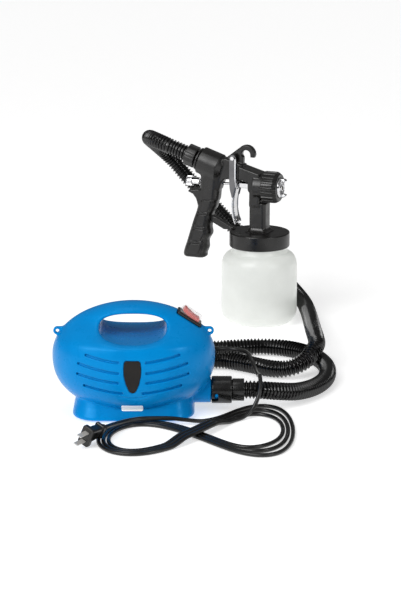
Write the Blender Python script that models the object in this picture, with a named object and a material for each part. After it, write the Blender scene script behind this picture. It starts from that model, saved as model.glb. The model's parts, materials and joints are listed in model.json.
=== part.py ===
"""Turbine paint sprayer set: base unit, air hose, spray gun and mains lead. Metres, +Z up."""

import math

import bmesh
import bpy
from mathutils import Vector

MM = 0.001

# Fits
SEAT = 0.3 * MM
RUN = 0.4 * MM

# Base body, a flattened egg that gets slimmer toward the handle
BODY_HALF_WIDTH = 106.3 * MM
BODY_HALF_DEPTH = 70.0 * MM
BODY_HALF_HEIGHT = 71.0 * MM
BODY_CENTRE_Z = 79.7 * MM
HANDLE_SLIM = 0.6
SLIM_LOW_Z = BODY_CENTRE_Z + 0.29 * BODY_HALF_HEIGHT
SLIM_HIGH_Z = BODY_CENTRE_Z + 0.74 * BODY_HALF_HEIGHT
WALL = 3.2 * MM

# Handle tunnel
TUNNEL_HALF_WIDTH = 0.411 * BODY_HALF_WIDTH
TUNNEL_LOW_Z = BODY_CENTRE_Z + 0.37 * BODY_HALF_HEIGHT
TUNNEL_HIGH_Z = BODY_CENTRE_Z + 0.814 * BODY_HALF_HEIGHT

# Pedestal and feet
PEDESTAL_HALF_WIDTH = 0.739 * BODY_HALF_WIDTH
PEDESTAL_HALF_DEPTH = 0.693 * BODY_HALF_DEPTH
PEDESTAL_CORNER = 0.7 * PEDESTAL_HALF_DEPTH
PEDESTAL_TOP_Z = BODY_CENTRE_Z - 0.475 * BODY_HALF_HEIGHT
FOOT_DROP = 2.0 * MM
FOOT_RADIUS = 7.0 * MM
FOOT_SINK = 1.5 * MM
FOOT_X = 0.74 * PEDESTAL_HALF_WIDTH
FOOT_Y = 0.66 * PEDESTAL_HALF_DEPTH

# Strap lugs
LUG_RADIUS = 5.5 * MM
LUG_HOLE = 2.4 * MM
LUG_HALF_THICKNESS = 2.5 * MM
LUG_Z = BODY_CENTRE_Z + 0.435 * BODY_HALF_HEIGHT

# Switch on the right shoulder
SWITCH_TILT = math.radians(33.0)
SWITCH_SINK = 4.5 * MM
BEZEL_HALF_LENGTH = 18.0 * MM
BEZEL_HALF_WIDTH = 12.5 * MM
BEZEL_THICKNESS = 7.0 * MM
POCKET_HALF_LENGTH = 13.6 * MM
POCKET_HALF_WIDTH = 8.0 * MM
POCKET_DEPTH = 8.0 * MM
SWITCH_BODY_DEPTH = 12.0 * MM
ROCKER_REST = math.radians(9.0)
BOOT_HEIGHT = 9.5 * MM
BOOT_WALL = 1.2 * MM

# Motor and fan, on one axis along X
MOTOR_Z = 60.0 * MM
FAN_RADIUS = 38.0 * MM
FAN_LEFT = -4.0 * MM
FAN_LENGTH = 40.0 * MM
FAN_WALL = 2.0 * MM
SHAFT_RADIUS = 4.0 * MM
CORE_RADIUS = 17.5 * MM
STATOR_LENGTH = 27.0 * MM
STATOR_HALF = 29.0 * MM
BRACKET_RADIUS = 28.0 * MM
BRACKET_WALL = 4.0 * MM
MOUNT_RUBBER = 3.3 * MM
MOUNT_LENGTH = 8.0 * MM
BULKHEAD = 3.0 * MM
BLADES = 9
MOTOR_SIDES = 16

# Outlet spout, bayonet collar and hose sleeve, on one axis along X
OUTLET_Z = 30.0 * MM
SPOUT_RADIUS = 13.5 * MM
SPOUT_BORE = 10.5 * MM
COLLAR_START = 101.6 * MM
COLLAR_LENGTH = 26.8 * MM
COLLAR_RADIUS = 18.0 * MM
BOSS_RADIUS = COLLAR_RADIUS - 1.2 * MM
SLEEVE_RADIUS = 14.75 * MM
SLEEVE_LENGTH = 15.6 * MM
PIN_RADIUS = 1.9 * MM
PIN_TURN = math.radians(-80.0)
LOCK_TURN = math.radians(25.0)

# Hose
HOSE_RADIUS = 12.0 * MM
HOSE_VALLEY = 10.4 * MM
HOSE_BORE = 8.6 * MM
HOSE_RIBS = 72
HOSE_SIDES = 6
BORE_STRAIGHT = 150.0 * MM
BORE_SAG = 0.7 * MM

# Lead and plug
CORD_RADIUS = 2.75 * MM
GLAND_X = 45.0 * MM
GLAND_Z = 70.0 * MM
GLAND_TURN = math.radians(17.5)
GLAND_LENGTH = 26.0 * MM
HANK_LOOPS = 3
HANK_LOOP_STEPS = 33
HANK_PITCH = 2.0 * CORD_RADIUS + 1.0 * MM
HANK_START = math.radians(65.0)
HANK_CENTRE = (81.5 * MM, -106.0 * MM)
HANK_HALF_LENGTH = 115.5 * MM
HANK_HALF_WIDTH = 77.0 * MM
HANK_SKEW = 27.0 * MM
HANK_LEAN = 21.0 * MM
HANK_FAN = 0.5
PLUG_REAR = (-34.0 * MM, -119.0 * MM, 15.6 * MM)
PLUG_TURN = math.radians(238.4)
PLUG_ROLL = math.radians(65.0)
PLUG_LENGTH = 43.0 * MM
BLADE_LENGTH = 18.0 * MM

# Gun, standing on its cup, with the nozzle along its own +X
GUN_ASIDE = 175.3 * MM
GUN_AWAY = 456.4 * MM
GUN_PLACE = (GUN_ASIDE, GUN_AWAY)
GUN_TURN = math.radians(-22.0)
CUP_RADIUS = 56.5 * MM
CUP_CORNER = 20.0 * MM
CUP_SHOULDER_Z = 89.0 * MM
CUP_WALL = 2.0 * MM
LID_RADIUS = 45.0 * MM
LID_LOW_Z = 117.5 * MM
LID_HEIGHT = 22.0 * MM
LID_TOP_Z = LID_LOW_Z + LID_HEIGHT
LID_WALL = 3.0 * MM
NECK_RADIUS = LID_RADIUS - LID_WALL - RUN
STEM_HALF = 13.0 * MM
STEM_FLARE = 8.0 * MM
NEEDLE_Z = 207.8 * MM
BLOCK_HALF = 14.0 * MM
WEB_HALF = 10.0 * MM
INLET_TILT = math.radians(18.5)
INLET_U = -99.5 * MM
INLET_Z = NEEDLE_Z + 35.0 * MM
BARREL_RADIUS = 20.5 * MM
SPIGOT_RADIUS = HOSE_BORE * math.cos(math.pi / HOSE_SIDES) - RUN
NUT_RADIUS = 16.5 * MM
NUT_LENGTH = 16.0 * MM
PIVOT = (-39.0 * MM, NEEDLE_Z + 41.2 * MM)
TRIGGER_PLATE = 2.4 * MM
RING_RADIUS = 23.5 * MM
RING_START = 5.0 * MM
RING_LENGTH = 26.0 * MM
KNOB_RADIUS = 7.5 * MM
RING_RIBS = 14
SPRING_COILS = 4

# Whole set, centred over the floor point between base and gun
SET_LOW_X = -BODY_HALF_WIDTH
SET_HIGH_X = GUN_PLACE[0] + CUP_RADIUS
SET_LOW_Y = -BODY_HALF_DEPTH
SET_HIGH_Y = GUN_PLACE[1] + CUP_RADIUS + 2.0 * MM
SET_CENTRE = Vector(((SET_LOW_X + SET_HIGH_X) / 2, (SET_LOW_Y + SET_HIGH_Y) / 2, 0.0))

FINISHES = {
    "blue": ((0.01, 0.16, 0.52, 1), 0.35, 0.0),
    "black": ((0.012, 0.012, 0.014, 1), 0.45, 0.0),
    "rubber": ((0.02, 0.02, 0.02, 1), 0.8, 0.0),
    "red": ((0.5, 0.02, 0.01, 1), 0.3, 0.0),
    "clear": ((0.85, 0.87, 0.88, 1), 0.15, 0.0),
    "white": ((0.82, 0.82, 0.8, 1), 0.4, 0.0),
    "steel": ((0.55, 0.55, 0.56, 1), 0.3, 1.0),
    "chrome": ((0.75, 0.75, 0.77, 1), 0.12, 1.0),
    "brass": ((0.7, 0.5, 0.2, 1), 0.3, 1.0),
    "copper": ((0.6, 0.27, 0.12, 1), 0.35, 1.0),
    "foam": ((0.08, 0.08, 0.09, 1), 0.95, 0.0),
}


def smooth_step(value, low, high):
    t = min(1.0, max(0.0, (value - low) / (high - low)))
    return t * t * (3.0 - 2.0 * t)


def finish(name, kind):
    colour, rough, metal = FINISHES[kind]
    made = bpy.data.materials.new(name)
    made.use_nodes = True
    shader = made.node_tree.nodes["Principled BSDF"]
    shader.inputs["Base Color"].default_value = colour
    shader.inputs["Roughness"].default_value = rough
    shader.inputs["Metallic"].default_value = metal
    return made


def empty(name, parent, place, turn=(0.0, 0.0, 0.0)):
    made = bpy.data.objects.new(name, None)
    bpy.context.scene.collection.objects.link(made)
    made.parent = parent
    made.location = place
    made.rotation_euler = turn
    return made


def piece(name, bm, kind, parent, place=(0.0, 0.0, 0.0), turn=(0.0, 0.0, 0.0), crease=35.0):
    bmesh.ops.recalc_face_normals(bm, faces=bm.faces)
    bmesh.ops.scale(bm, vec=(1.0 / MM, 1.0 / MM, 1.0 / MM), verts=bm.verts)
    bmesh.ops.connect_verts_nonplanar(bm, angle_limit=1e-4, faces=bm.faces)
    mesh = bpy.data.meshes.new(name)
    bm.to_mesh(mesh)
    bm.free()
    mesh.shade_smooth()
    mesh.set_sharp_from_angle(angle=math.radians(crease))
    made = bpy.data.objects.new(name, mesh)
    bpy.context.scene.collection.objects.link(made)
    made.parent = parent
    made.location = place
    made.rotation_euler = turn
    made.scale = (MM, MM, MM)
    if kind:
        mesh.materials.append(finish(name, kind))
    return made


def tool(name, bm, parent, place=(0.0, 0.0, 0.0), turn=(0.0, 0.0, 0.0)):
    made = piece(name, bm, None, parent, place, turn)
    made.hide_render = True
    made.display_type = "WIRE"
    return made


def carve(target, cutters, operation="DIFFERENCE"):
    """One exact step with one cutter or with several at once."""
    if not isinstance(cutters, (list, tuple)):
        cutters = [cutters]
    step = target.modifiers.new(operation.lower(), "BOOLEAN")
    step.operation = operation
    step.solver = "EXACT"
    if len(cutters) == 1:
        step.object = cutters[0]
        return
    group = bpy.data.collections.new(f"{target.name}_{operation.lower()}")
    bpy.context.scene.collection.children.link(group)
    for cutter in cutters:
        group.objects.link(cutter)
    step.operand_type = "COLLECTION"
    step.collection = group


def loft(rings, bm=None):
    bm = bm or bmesh.new()
    loops = [[bm.verts.new(spot) for spot in ring] for ring in rings]
    count = len(rings[0])
    for low, high in zip(loops, loops[1:]):
        for i in range(count):
            j = (i + 1) % count
            bm.faces.new((low[i], low[j], high[j], high[i]))
    bm.faces.new(loops[0])
    bm.faces.new(loops[-1])
    return bm


def lathe(profile, steps, bm=None):
    """Turns a closed outline of (radius, height) points about local Z."""
    bm = bm or bmesh.new()
    rings = []
    for radius, height in profile:
        if radius < 1e-9:
            rings.append([bm.verts.new((0.0, 0.0, height))])
            continue
        angles = [math.tau * i / steps for i in range(steps)]
        rings.append([bm.verts.new((radius * math.cos(t), radius * math.sin(t), height)) for t in angles])
    for first, second in zip(rings, rings[1:] + rings[:1]):
        if len(first) == 1 and len(second) == 1:
            continue
        for i in range(steps):
            j = (i + 1) % steps
            corners = (
                first[i % len(first)],
                first[j % len(first)],
                second[j % len(second)],
                second[i % len(second)],
            )
            bm.faces.new(list(dict.fromkeys(corners)))
    return bm


def prism(outline, low, high, bm=None):
    """Runs an outline of (x, z) points from y = low to y = high."""
    return loft([[(x, low, z) for x, z in outline], [(x, high, z) for x, z in outline]], bm)


def block(x0, x1, y0, y1, z0, z1, bm=None):
    return prism([(x0, z0), (x1, z0), (x1, z1), (x0, z1)], y0, y1, bm)


def rounded(half_x, half_y, corner, per_corner):
    points = []
    for k, (sx, sy) in enumerate(((1, 1), (-1, 1), (-1, -1), (1, -1))):
        for j in range(per_corner + 1):
            turn = (k + j / per_corner) * math.pi / 2
            x = sx * (half_x - corner) + corner * math.cos(turn)
            y = sy * (half_y - corner) + corner * math.sin(turn)
            points.append((x, y))
    return points


def slab(outline, low, high, bm=None):
    """Runs an outline of (x, y) points from z = low to z = high."""
    return loft([[(x, y, low) for x, y in outline], [(x, y, high) for x, y in outline]], bm)


def arc(centre, radius, start, end, parts):
    spots = []
    for i in range(parts + 1):
        t = math.radians(start + (end - start) * i / parts)
        spots.append((centre[0] + radius * math.cos(t), centre[1] + radius * math.sin(t)))
    return spots


def ring_sector(inner, outer, low, high, start, end, parts):
    rings = []
    for i in range(parts + 1):
        t = start + (end - start) * i / parts
        corners = ((inner, low), (outer, low), (outer, high), (inner, high))
        rings.append([(r * math.cos(t), r * math.sin(t), h) for r, h in corners])
    return loft(rings)


def smooth_route(spots, spacing):
    """Reads points at even spacing from a smooth curve through the spots."""
    spots = [Vector(s) for s in spots]
    ends = [2 * spots[0] - spots[1]] + spots + [2 * spots[-1] - spots[-2]]
    fine = []
    for a, b, c, d in zip(ends, ends[1:], ends[2:], ends[3:]):
        for k in range(24):
            t = k / 24
            curve = 2 * b + (c - a) * t + (2 * a - 5 * b + 4 * c - d) * t**2
            curve += (3 * b - a - 3 * c + d) * t**3
            fine.append(0.5 * curve)
    fine.append(spots[-1])
    total = sum((q - p).length for p, q in zip(fine, fine[1:]))
    count = max(2, round(total / spacing))
    step = total / count
    route = [fine[0]]
    walked = 0.0
    for p, q in zip(fine, fine[1:]):
        length = (q - p).length
        while len(route) < count and walked + length >= step * len(route):
            route.append(p.lerp(q, (step * len(route) - walked) / length))
        walked += length
    route.append(fine[-1])
    return route, total


def cord_tube(name, route, radius, kind, parent, resolution):
    curve = bpy.data.curves.new(name, "CURVE")
    curve.dimensions = "3D"
    curve.bevel_depth = radius
    curve.bevel_resolution = resolution
    curve.use_fill_caps = True
    line = curve.splines.new("POLY")
    line.points.add(len(route) - 1)
    for point, spot in zip(line.points, route):
        point.co = (*spot, 1.0)
    curve.materials.append(finish(name, kind))
    made = bpy.data.objects.new(name, curve)
    bpy.context.scene.collection.objects.link(made)
    made.parent = parent
    return made


def least_self_gap(route, radius):
    """Least free distance between stretches of one route that are over six diameters apart along it."""
    best = 1.0
    walked = [0.0]
    for p, q in zip(route, route[1:]):
        walked.append(walked[-1] + (q - p).length)
    for i, p in enumerate(route):
        for j in range(i + 1, len(route)):
            if walked[j] - walked[i] > 12 * radius:
                best = min(best, (route[j] - p).length - 2 * radius)
    return best


# Base body forms
def body_slim(z):
    return 1.0 - (1.0 - HANDLE_SLIM) * smooth_step(z, SLIM_LOW_Z, SLIM_HIGH_Z)


def body_depth(x, z):
    left = 1.0 - (x / BODY_HALF_WIDTH) ** 2 - ((z - BODY_CENTRE_Z) / BODY_HALF_HEIGHT) ** 2
    return BODY_HALF_DEPTH * body_slim(z) * math.sqrt(max(0.0, left))


def egg(grow, steps, rings):
    bm = bmesh.new()
    rows = []
    for k in range(rings + 1):
        tilt = math.pi * k / rings
        row = []
        for i in range(steps):
            turn = math.tau * (i + 0.37) / steps
            x = (BODY_HALF_WIDTH + grow) * math.sin(tilt) * math.cos(turn)
            z = BODY_CENTRE_Z + (BODY_HALF_HEIGHT + grow) * math.sin(tilt) * math.sin(turn)
            row.append((x, -(BODY_HALF_DEPTH + grow) * body_slim(z) * math.cos(tilt), z))
        rows.append(row)
    front = bm.verts.new(rows[0][0])
    rear = bm.verts.new(rows[-1][0])
    loops = [[bm.verts.new(spot) for spot in row] for row in rows[1:-1]]
    for low, high in zip(loops, loops[1:]):
        for i in range(steps):
            j = (i + 1) % steps
            bm.faces.new((low[i], low[j], high[j], high[i]))
    for i in range(steps):
        j = (i + 1) % steps
        bm.faces.new((front, loops[0][i], loops[0][j]))
        bm.faces.new((rear, loops[-1][i], loops[-1][j]))
    return bm


def tunnel_outline(grow):
    half_height = (TUNNEL_HIGH_Z - TUNNEL_LOW_Z) / 2
    middle = (TUNNEL_HIGH_Z + TUNNEL_LOW_Z) / 2
    spots = []
    for i in range(22):
        t = math.tau * (i + 0.5) / 22
        c, s = math.cos(t), math.sin(t)
        x = math.copysign(abs(c) ** 0.85, c) * (TUNNEL_HALF_WIDTH + grow)
        z = math.copysign(abs(s) ** 0.85, s) * (half_height + grow)
        spots.append((x, middle + z))
    return spots


def shield_outline(grow):
    right = [(0.0, 44.5), (3.2, 47.0), (7.6, 57.0), (10.6, 69.0), (10.9, 79.0), (10.2, 86.4), (8.4, 88.2)]
    scale = BODY_HALF_HEIGHT / (71.0 * MM)
    middle = 67.0
    spots = []
    for x, z in right + [(-x, z) for x, z in reversed(right[1:])]:
        away = Vector((x, z - middle))
        wide = away * (1.0 + grow / MM / away.length)
        spots.append((wide.x * MM * scale, BODY_CENTRE_Z + (wide.y + middle - 79.7) * MM * scale))
    return spots


def groove_spots(side, level):
    """Spots along one front groove, from its inner to its outer end."""
    inner_x = (16.0, 17.0, 16.5, 10.0)[level]
    outer_x = (59.0, 69.0, 70.5, 61.5)[level]
    inner_z = (84.5, 70.2, 57.0, 44.1)[level]
    rise = (9.8, 14.3, 13.8, 10.2)[level]
    scale = BODY_HALF_HEIGHT / (71.0 * MM)
    spots = []
    for k in range(4):
        t = k / 3
        x = side * (inner_x + (outer_x - inner_x) * t) * MM * BODY_HALF_WIDTH / (106.3 * MM)
        z = BODY_CENTRE_Z + (inner_z + rise * t**1.4 - 79.7) * MM * scale
        spots.append((x, z))
    return spots


def groove_tools():
    """Eight curved cutters that follow the front of the body a little below its surface."""
    bm = bmesh.new()
    for side in (-1, 1):
        for level in range(4):
            spots = groove_spots(side, level)
            rings = []
            for k, (x, z) in enumerate(spots):
                half = (0.5 if k in (0, len(spots) - 1) else 1.5) * MM
                y = -body_depth(x, z)
                deep = y + 1.7 * MM
                rings.append(
                    [
                        (x, y - 4 * MM, z - half),
                        (x, y - 4 * MM, z + half),
                        (x, deep, z + half),
                        (x, deep, z - half),
                    ],
                )
            loft(rings, bm)
    return bm


def build_base(root):
    base = empty("base_frame", root, (0.0, 0.0, 0.0))
    along_x = (0.0, math.pi / 2, 0.0)
    far = 3 * BODY_HALF_WIDTH

    # Shared cutters of the two housing halves
    pedestal_rings = []
    heights = (FOOT_DROP, FOOT_DROP + 1.2 * MM, FOOT_DROP + 4 * MM, PEDESTAL_TOP_Z)
    insets = (2.6 * MM, 0.7 * MM, 0.0, 2.5 * MM)
    for z, inset in zip(heights, insets):
        ring = rounded(PEDESTAL_HALF_WIDTH - inset, PEDESTAL_HALF_DEPTH - inset, PEDESTAL_CORNER - inset, 4)
        pedestal_rings.append([(x, y, z) for x, y in ring])
    pedestal = tool("pedestal_form", loft(pedestal_rings), base)

    lug_x = BODY_HALF_WIDTH * math.sqrt(1.0 - ((LUG_Z - BODY_CENTRE_Z) / BODY_HALF_HEIGHT) ** 2) + 3.5 * MM
    lug_bm = bmesh.new()
    hole_bm = bmesh.new()
    for side in (-1, 1):
        middle = (side * lug_x, LUG_Z)
        facing = 0 if side > 0 else 180
        tip = arc(middle, LUG_RADIUS, facing - 90, facing + 90, 4)
        root_x = side * (lug_x - 12 * MM)
        outline = tip + [(root_x, tip[-1][1]), (root_x, tip[0][1])]
        prism(outline, -LUG_HALF_THICKNESS, LUG_HALF_THICKNESS, lug_bm)
        prism(arc(middle, LUG_HOLE, 0, 300, 5), -0.01, 0.01, hole_bm)
    lugs = tool("lug_form", lug_bm, base)
    lug_holes = tool("lug_hole_form", hole_bm, base)

    boss_low = 0.58 * BODY_HALF_WIDTH
    boss_high = COLLAR_START - RUN - SEAT
    boss_outline = [
        (0, boss_low),
        (BOSS_RADIUS, boss_low),
        (BOSS_RADIUS, boss_high - 1 * MM),
        (BOSS_RADIUS - 1 * MM, boss_high),
        (0, boss_high),
    ]
    boss = tool("outlet_boss_form", lathe(boss_outline, 20), base, (0, 0, OUTLET_Z), along_x)

    tunnel = tool("tunnel_form", prism(tunnel_outline(0.0), -far, far), base)
    tunnel_wall = tool("tunnel_wall_form", prism(tunnel_outline(WALL), -far, far), base)

    post_spots = ((-0.79 * BODY_HALF_WIDTH, 62 * MM), (0.79 * BODY_HALF_WIDTH, 62 * MM))
    low_spots = ((-0.5 * BODY_HALF_WIDTH, 13 * MM), (0.5 * BODY_HALF_WIDTH, 13 * MM))
    posts_bm = bmesh.new()
    for x, z in post_spots:
        prism(arc((x, z), 5 * MM, 0, 315, 7), -far, far, posts_bm)
    posts = tool("post_form", posts_bm, base)

    fan_right = FAN_LEFT + FAN_LENGTH
    plate_left = FAN_LEFT - SEAT - 3 * MM
    stator_right = plate_left - 10.4 * MM
    stator_left = stator_right - STATOR_LENGTH
    bracket_left = stator_left - SEAT - 18.7 * MM
    mount_hole_front = FAN_RADIUS + MOUNT_RUBBER + 2 * SEAT
    mount_hole_rear = BRACKET_RADIUS + MOUNT_RUBBER + 2 * SEAT
    front_mount_x = FAN_LEFT + 0.5 * FAN_LENGTH
    rear_mount_x = bracket_left + 4.5 * MM
    cavity = tool("cavity_form", egg(-WALL, 16, 8), base)
    keep = [tunnel_wall, posts]
    for label, x, hole in (
        ("front", front_mount_x, mount_hole_front), ("rear", rear_mount_x, mount_hole_rear)
    ):
        low, high = x - BULKHEAD / 2, x + BULKHEAD / 2
        ring = lathe([(hole, low), (far, low), (far, high), (hole, high)], MOTOR_SIDES)
        keep.append(tool(label + "_bulkhead_form", ring, base, (0, 0, MOTOR_Z), along_x))
    carve(cavity, keep)

    # Room for the two mount rings, also where the body comes close to them
    mount_rooms = []
    rings = (("front", front_mount_x, mount_hole_front), ("rear", rear_mount_x, mount_hole_rear))
    for label, x, hole in rings:
        low, high = x - MOUNT_LENGTH / 2 - SEAT, x + MOUNT_LENGTH / 2 + SEAT
        around = hole - SEAT / 2
        room = lathe([(0, low), (around, low), (around, high), (0, high)], MOTOR_SIDES)
        mount_rooms.append(tool(label + "_mount_room_form", room, base, (0, 0, MOTOR_Z), along_x))

    spout_hole = lathe(
        [
            (0, 0.5 * fan_right),
            (SPOUT_RADIUS + SEAT, 0.5 * fan_right),
            (SPOUT_RADIUS + SEAT, far),
            (0, far),
        ],
        20,
    )
    spout_tool = tool("spout_hole_form", spout_hole, base, (0, 0, OUTLET_Z), along_x)

    tan_t = BODY_HALF_HEIGHT / (BODY_HALF_WIDTH * math.tan(SWITCH_TILT))
    crest = math.atan(tan_t)
    crest_x = BODY_HALF_WIDTH * math.cos(crest)
    crest_z = BODY_CENTRE_Z + BODY_HALF_HEIGHT * math.sin(crest)
    seat_x = crest_x - SWITCH_SINK * math.sin(SWITCH_TILT)
    seat_z = crest_z - SWITCH_SINK * math.cos(SWITCH_TILT)
    switch = empty("switch_frame", base, (seat_x, 0, seat_z), (0, SWITCH_TILT, 0))
    seat_bm = slab(rounded(BEZEL_HALF_LENGTH + SEAT, BEZEL_HALF_WIDTH + 20 * MM, 3 * MM, 2), -SEAT, 0.04)
    seat_tool = tool("switch_seat_form", seat_bm, switch)
    body_half_length = POCKET_HALF_LENGTH + 1.5 * MM
    body_half_width = POCKET_HALF_WIDTH + 1.5 * MM
    deep = -SWITCH_BODY_DEPTH
    slot_bm = slab(rounded(body_half_length + SEAT, body_half_width + SEAT, 1.5 * MM, 1), deep - SEAT, 0.02)
    slot_tool = tool("switch_slot_form", slot_bm, switch)

    foot_seat_bm = bmesh.new()
    for k, (sx, sy) in enumerate(((-1, -1), (1, -1), (-1, 1), (1, 1))):
        place = (sx * FOOT_X, sy * FOOT_Y)
        foot = slab(arc(place, FOOT_RADIUS, 0, 330, 11), 0.0, FOOT_DROP + FOOT_SINK - SEAT)
        piece(f"rubber_foot_{k + 1}", foot, "rubber", base)
        slab(arc(place, FOOT_RADIUS + SEAT, 0, 330, 11), -0.01, FOOT_DROP + FOOT_SINK, foot_seat_bm)
    foot_seats = tool("foot_seat_form", foot_seat_bm, base)

    # Screws come from the rear and end in the front half
    screw_hole_bm = bmesh.new()
    for k, (x, z) in enumerate(post_spots + low_spots):
        surface = body_depth(x, z) if (x, z) in post_spots else PEDESTAL_HALF_DEPTH
        head = surface - 6 * MM
        tip = -18 * MM
        for gap, top in ((0.0, head + 2.4 * MM), (SEAT, head + 50 * MM)):
            rings = []
            for y, radius in (
                (tip - gap, 1.5 * MM), (head - gap, 1.5 * MM), (head - gap, 3.2 * MM), (top, 3.2 * MM)
            ):
                rings.append([(a, y, b) for a, b in arc((x, z), radius + gap, 0, 300, 5)])
            if gap:
                loft(rings, screw_hole_bm)
            else:
                piece(f"housing_screw_{k + 1}", loft(rings), "steel", base)
    screw_holes = tool("screw_hole_form", screw_hole_bm, base)

    recess = tool("inlay_recess_form", prism(shield_outline(SEAT), -far, -0.3 * BODY_HALF_DEPTH), base)
    carve(recess, tool("inlay_floor_form", egg(-2.2 * MM, 20, 9), base))
    grooves = tool("groove_form", groove_tools(), base)

    # Rear intake slots and the filter behind them
    vent_low_x = -46 * MM
    vent_high_x = 6 * MM
    vent_bm = bmesh.new()
    for k in range(4):
        z = BODY_CENTRE_Z + (k - 1.5) * 9 * MM - 12 * MM
        outline = [
            (vent_low_x, z - 1.8 * MM),
            (vent_high_x, z - 1.8 * MM),
            (vent_high_x, z + 1.8 * MM),
            (vent_low_x, z + 1.8 * MM),
        ]
        prism(outline, 0.72 * BODY_HALF_DEPTH, far, vent_bm)
    vents = tool("vent_form", vent_bm, base)
    filter_bm = block(
        vent_low_x - 2 * MM, vent_high_x + 2 * MM, 0.69 * BODY_HALF_DEPTH, far, 43 * MM, 93 * MM
    )
    pad = piece("air_filter", filter_bm, "foam", base)
    carve(pad, tool("filter_face_form", egg(-WALL - SEAT, 16, 8), base), "INTERSECT")

    # Gland for the lead
    gland_y = body_depth(GLAND_X, GLAND_Z)
    gland = empty("gland_frame", base, (GLAND_X, gland_y, GLAND_Z), (-math.pi / 2, 0.0, -GLAND_TURN))
    hole = [
        (0, -20 * MM),
        (5.8 * MM, -20 * MM),
        (5.8 * MM, -1.5 * MM),
        (8.8 * MM, -1.5 * MM),
        (8.8 * MM, 0.04),
        (0, 0.04),
    ]
    gland_hole = tool("gland_hole_form", lathe(hole, 8), gland)
    relief = [
        (0, -7 * MM),
        (5.5 * MM, -7 * MM),
        (5.5 * MM, -1.2 * MM),
        (8.5 * MM, -1.2 * MM),
        (8.5 * MM, 2 * MM),
    ]
    for k in range(4):
        start = 4.5 * MM + k * 5.4 * MM
        thick = (6.4 - 0.5 * k) * MM
        relief += [(thick - 1.2 * MM, start - 2 * MM), (thick, start), (thick, start + 2 * MM)]
    relief += [(4.0 * MM, GLAND_LENGTH), (0, GLAND_LENGTH)]
    piece("cord_gland", lathe(relief, 8), "rubber", gland)

    # The two halves, and the inlay that lies in the front one
    shared = [cavity, tunnel, lug_holes, seat_tool, slot_tool, spout_tool, foot_seats, screw_holes]
    shared += mount_rooms
    for label, sign, own in (
        ("front_housing", -1, [recess, grooves]), ("rear_housing", 1, [vents, gland_hole])
    ):
        half = piece(label, egg(0.0, 28, 12), "blue", base)
        carve(half, [pedestal, lugs, boss], "UNION")
        low, high = sorted((sign * SEAT / 2, sign * far))
        carve(half, tool(label + "_side_form", block(-far, far, low, high, -0.05, far), base), "INTERSECT")
        carve(half, shared + own)
    inlay = piece("front_inlay", prism(shield_outline(0.0), -far, -0.3 * BODY_HALF_DEPTH), "black", base)
    carve(inlay, tool("inlay_face_form", egg(0.5 * MM, 28, 12), base), "INTERSECT")
    carve(inlay, tool("inlay_back_form", egg(-2.2 * MM + SEAT, 20, 9), base))

    # Switch
    bezel_bm = slab(rounded(BEZEL_HALF_LENGTH, BEZEL_HALF_WIDTH, 3 * MM, 3), 0.0, BEZEL_THICKNESS)
    bezel = piece("switch_bezel", bezel_bm, "black", switch)
    under = slab(rounded(body_half_length, body_half_width, 1.5 * MM, 2), deep, 1 * MM)
    carve(bezel, tool("switch_body_form", under, switch), "UNION")
    pocket = rounded(POCKET_HALF_LENGTH, POCKET_HALF_WIDTH, 1 * MM, 1)
    carve(bezel, tool("pocket_form", slab(pocket, BEZEL_THICKNESS - POCKET_DEPTH, 0.03), switch))
    reach = POCKET_HALF_LENGTH - 1.1 * MM
    side = [(-reach, -2.2 * MM), (-0.4 * reach, -3.2 * MM), (0.4 * reach, -3.2 * MM), (reach, -2.2 * MM)]
    side += [
        (reach, 2.6 * MM),
        (0.85 * reach, 3.2 * MM),
        (0, 2.0 * MM),
        (-0.85 * reach, 3.2 * MM),
        (-reach, 2.6 * MM),
    ]
    rocker_half = POCKET_HALF_WIDTH - RUN
    rocker_place = (0, 0, BEZEL_THICKNESS - 0.5 * MM)
    piece(
        "switch_rocker",
        prism(side, -rocker_half, rocker_half),
        "red",
        switch,
        rocker_place,
        (0, ROCKER_REST, 0),
    )
    boot_rings = []
    boot_half_length = POCKET_HALF_LENGTH + 2.4 * MM
    boot_half_width = POCKET_HALF_WIDTH + 2.4 * MM
    base_z = BEZEL_THICKNESS + SEAT
    top_z = base_z + BOOT_HEIGHT
    for z, inset in ((base_z, 0.0), (base_z + 1 * MM, 0.0), (top_z - 2 * MM, 1.2 * MM), (top_z, 3.0 * MM)):
        ring = rounded(boot_half_length - inset, boot_half_width - inset, 4 * MM, 2)
        boot_rings.append([(x, y, z) for x, y in ring])
    boot = piece("switch_boot", loft(boot_rings), "clear", switch)
    inner_rings = []
    for z, inset in (
        (base_z - 1 * MM, 0.0),
        (base_z + 1 * MM, 0.0),
        (top_z - 2 * MM, 1.0 * MM),
        (top_z - BOOT_WALL, 2.4 * MM),
    ):
        ring = rounded(boot_half_length - BOOT_WALL - inset, boot_half_width - BOOT_WALL - inset, 3 * MM, 2)
        inner_rings.append([(x, y, z) for x, y in ring])
    carve(boot, tool("boot_room_form", loft(inner_rings), switch))

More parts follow.
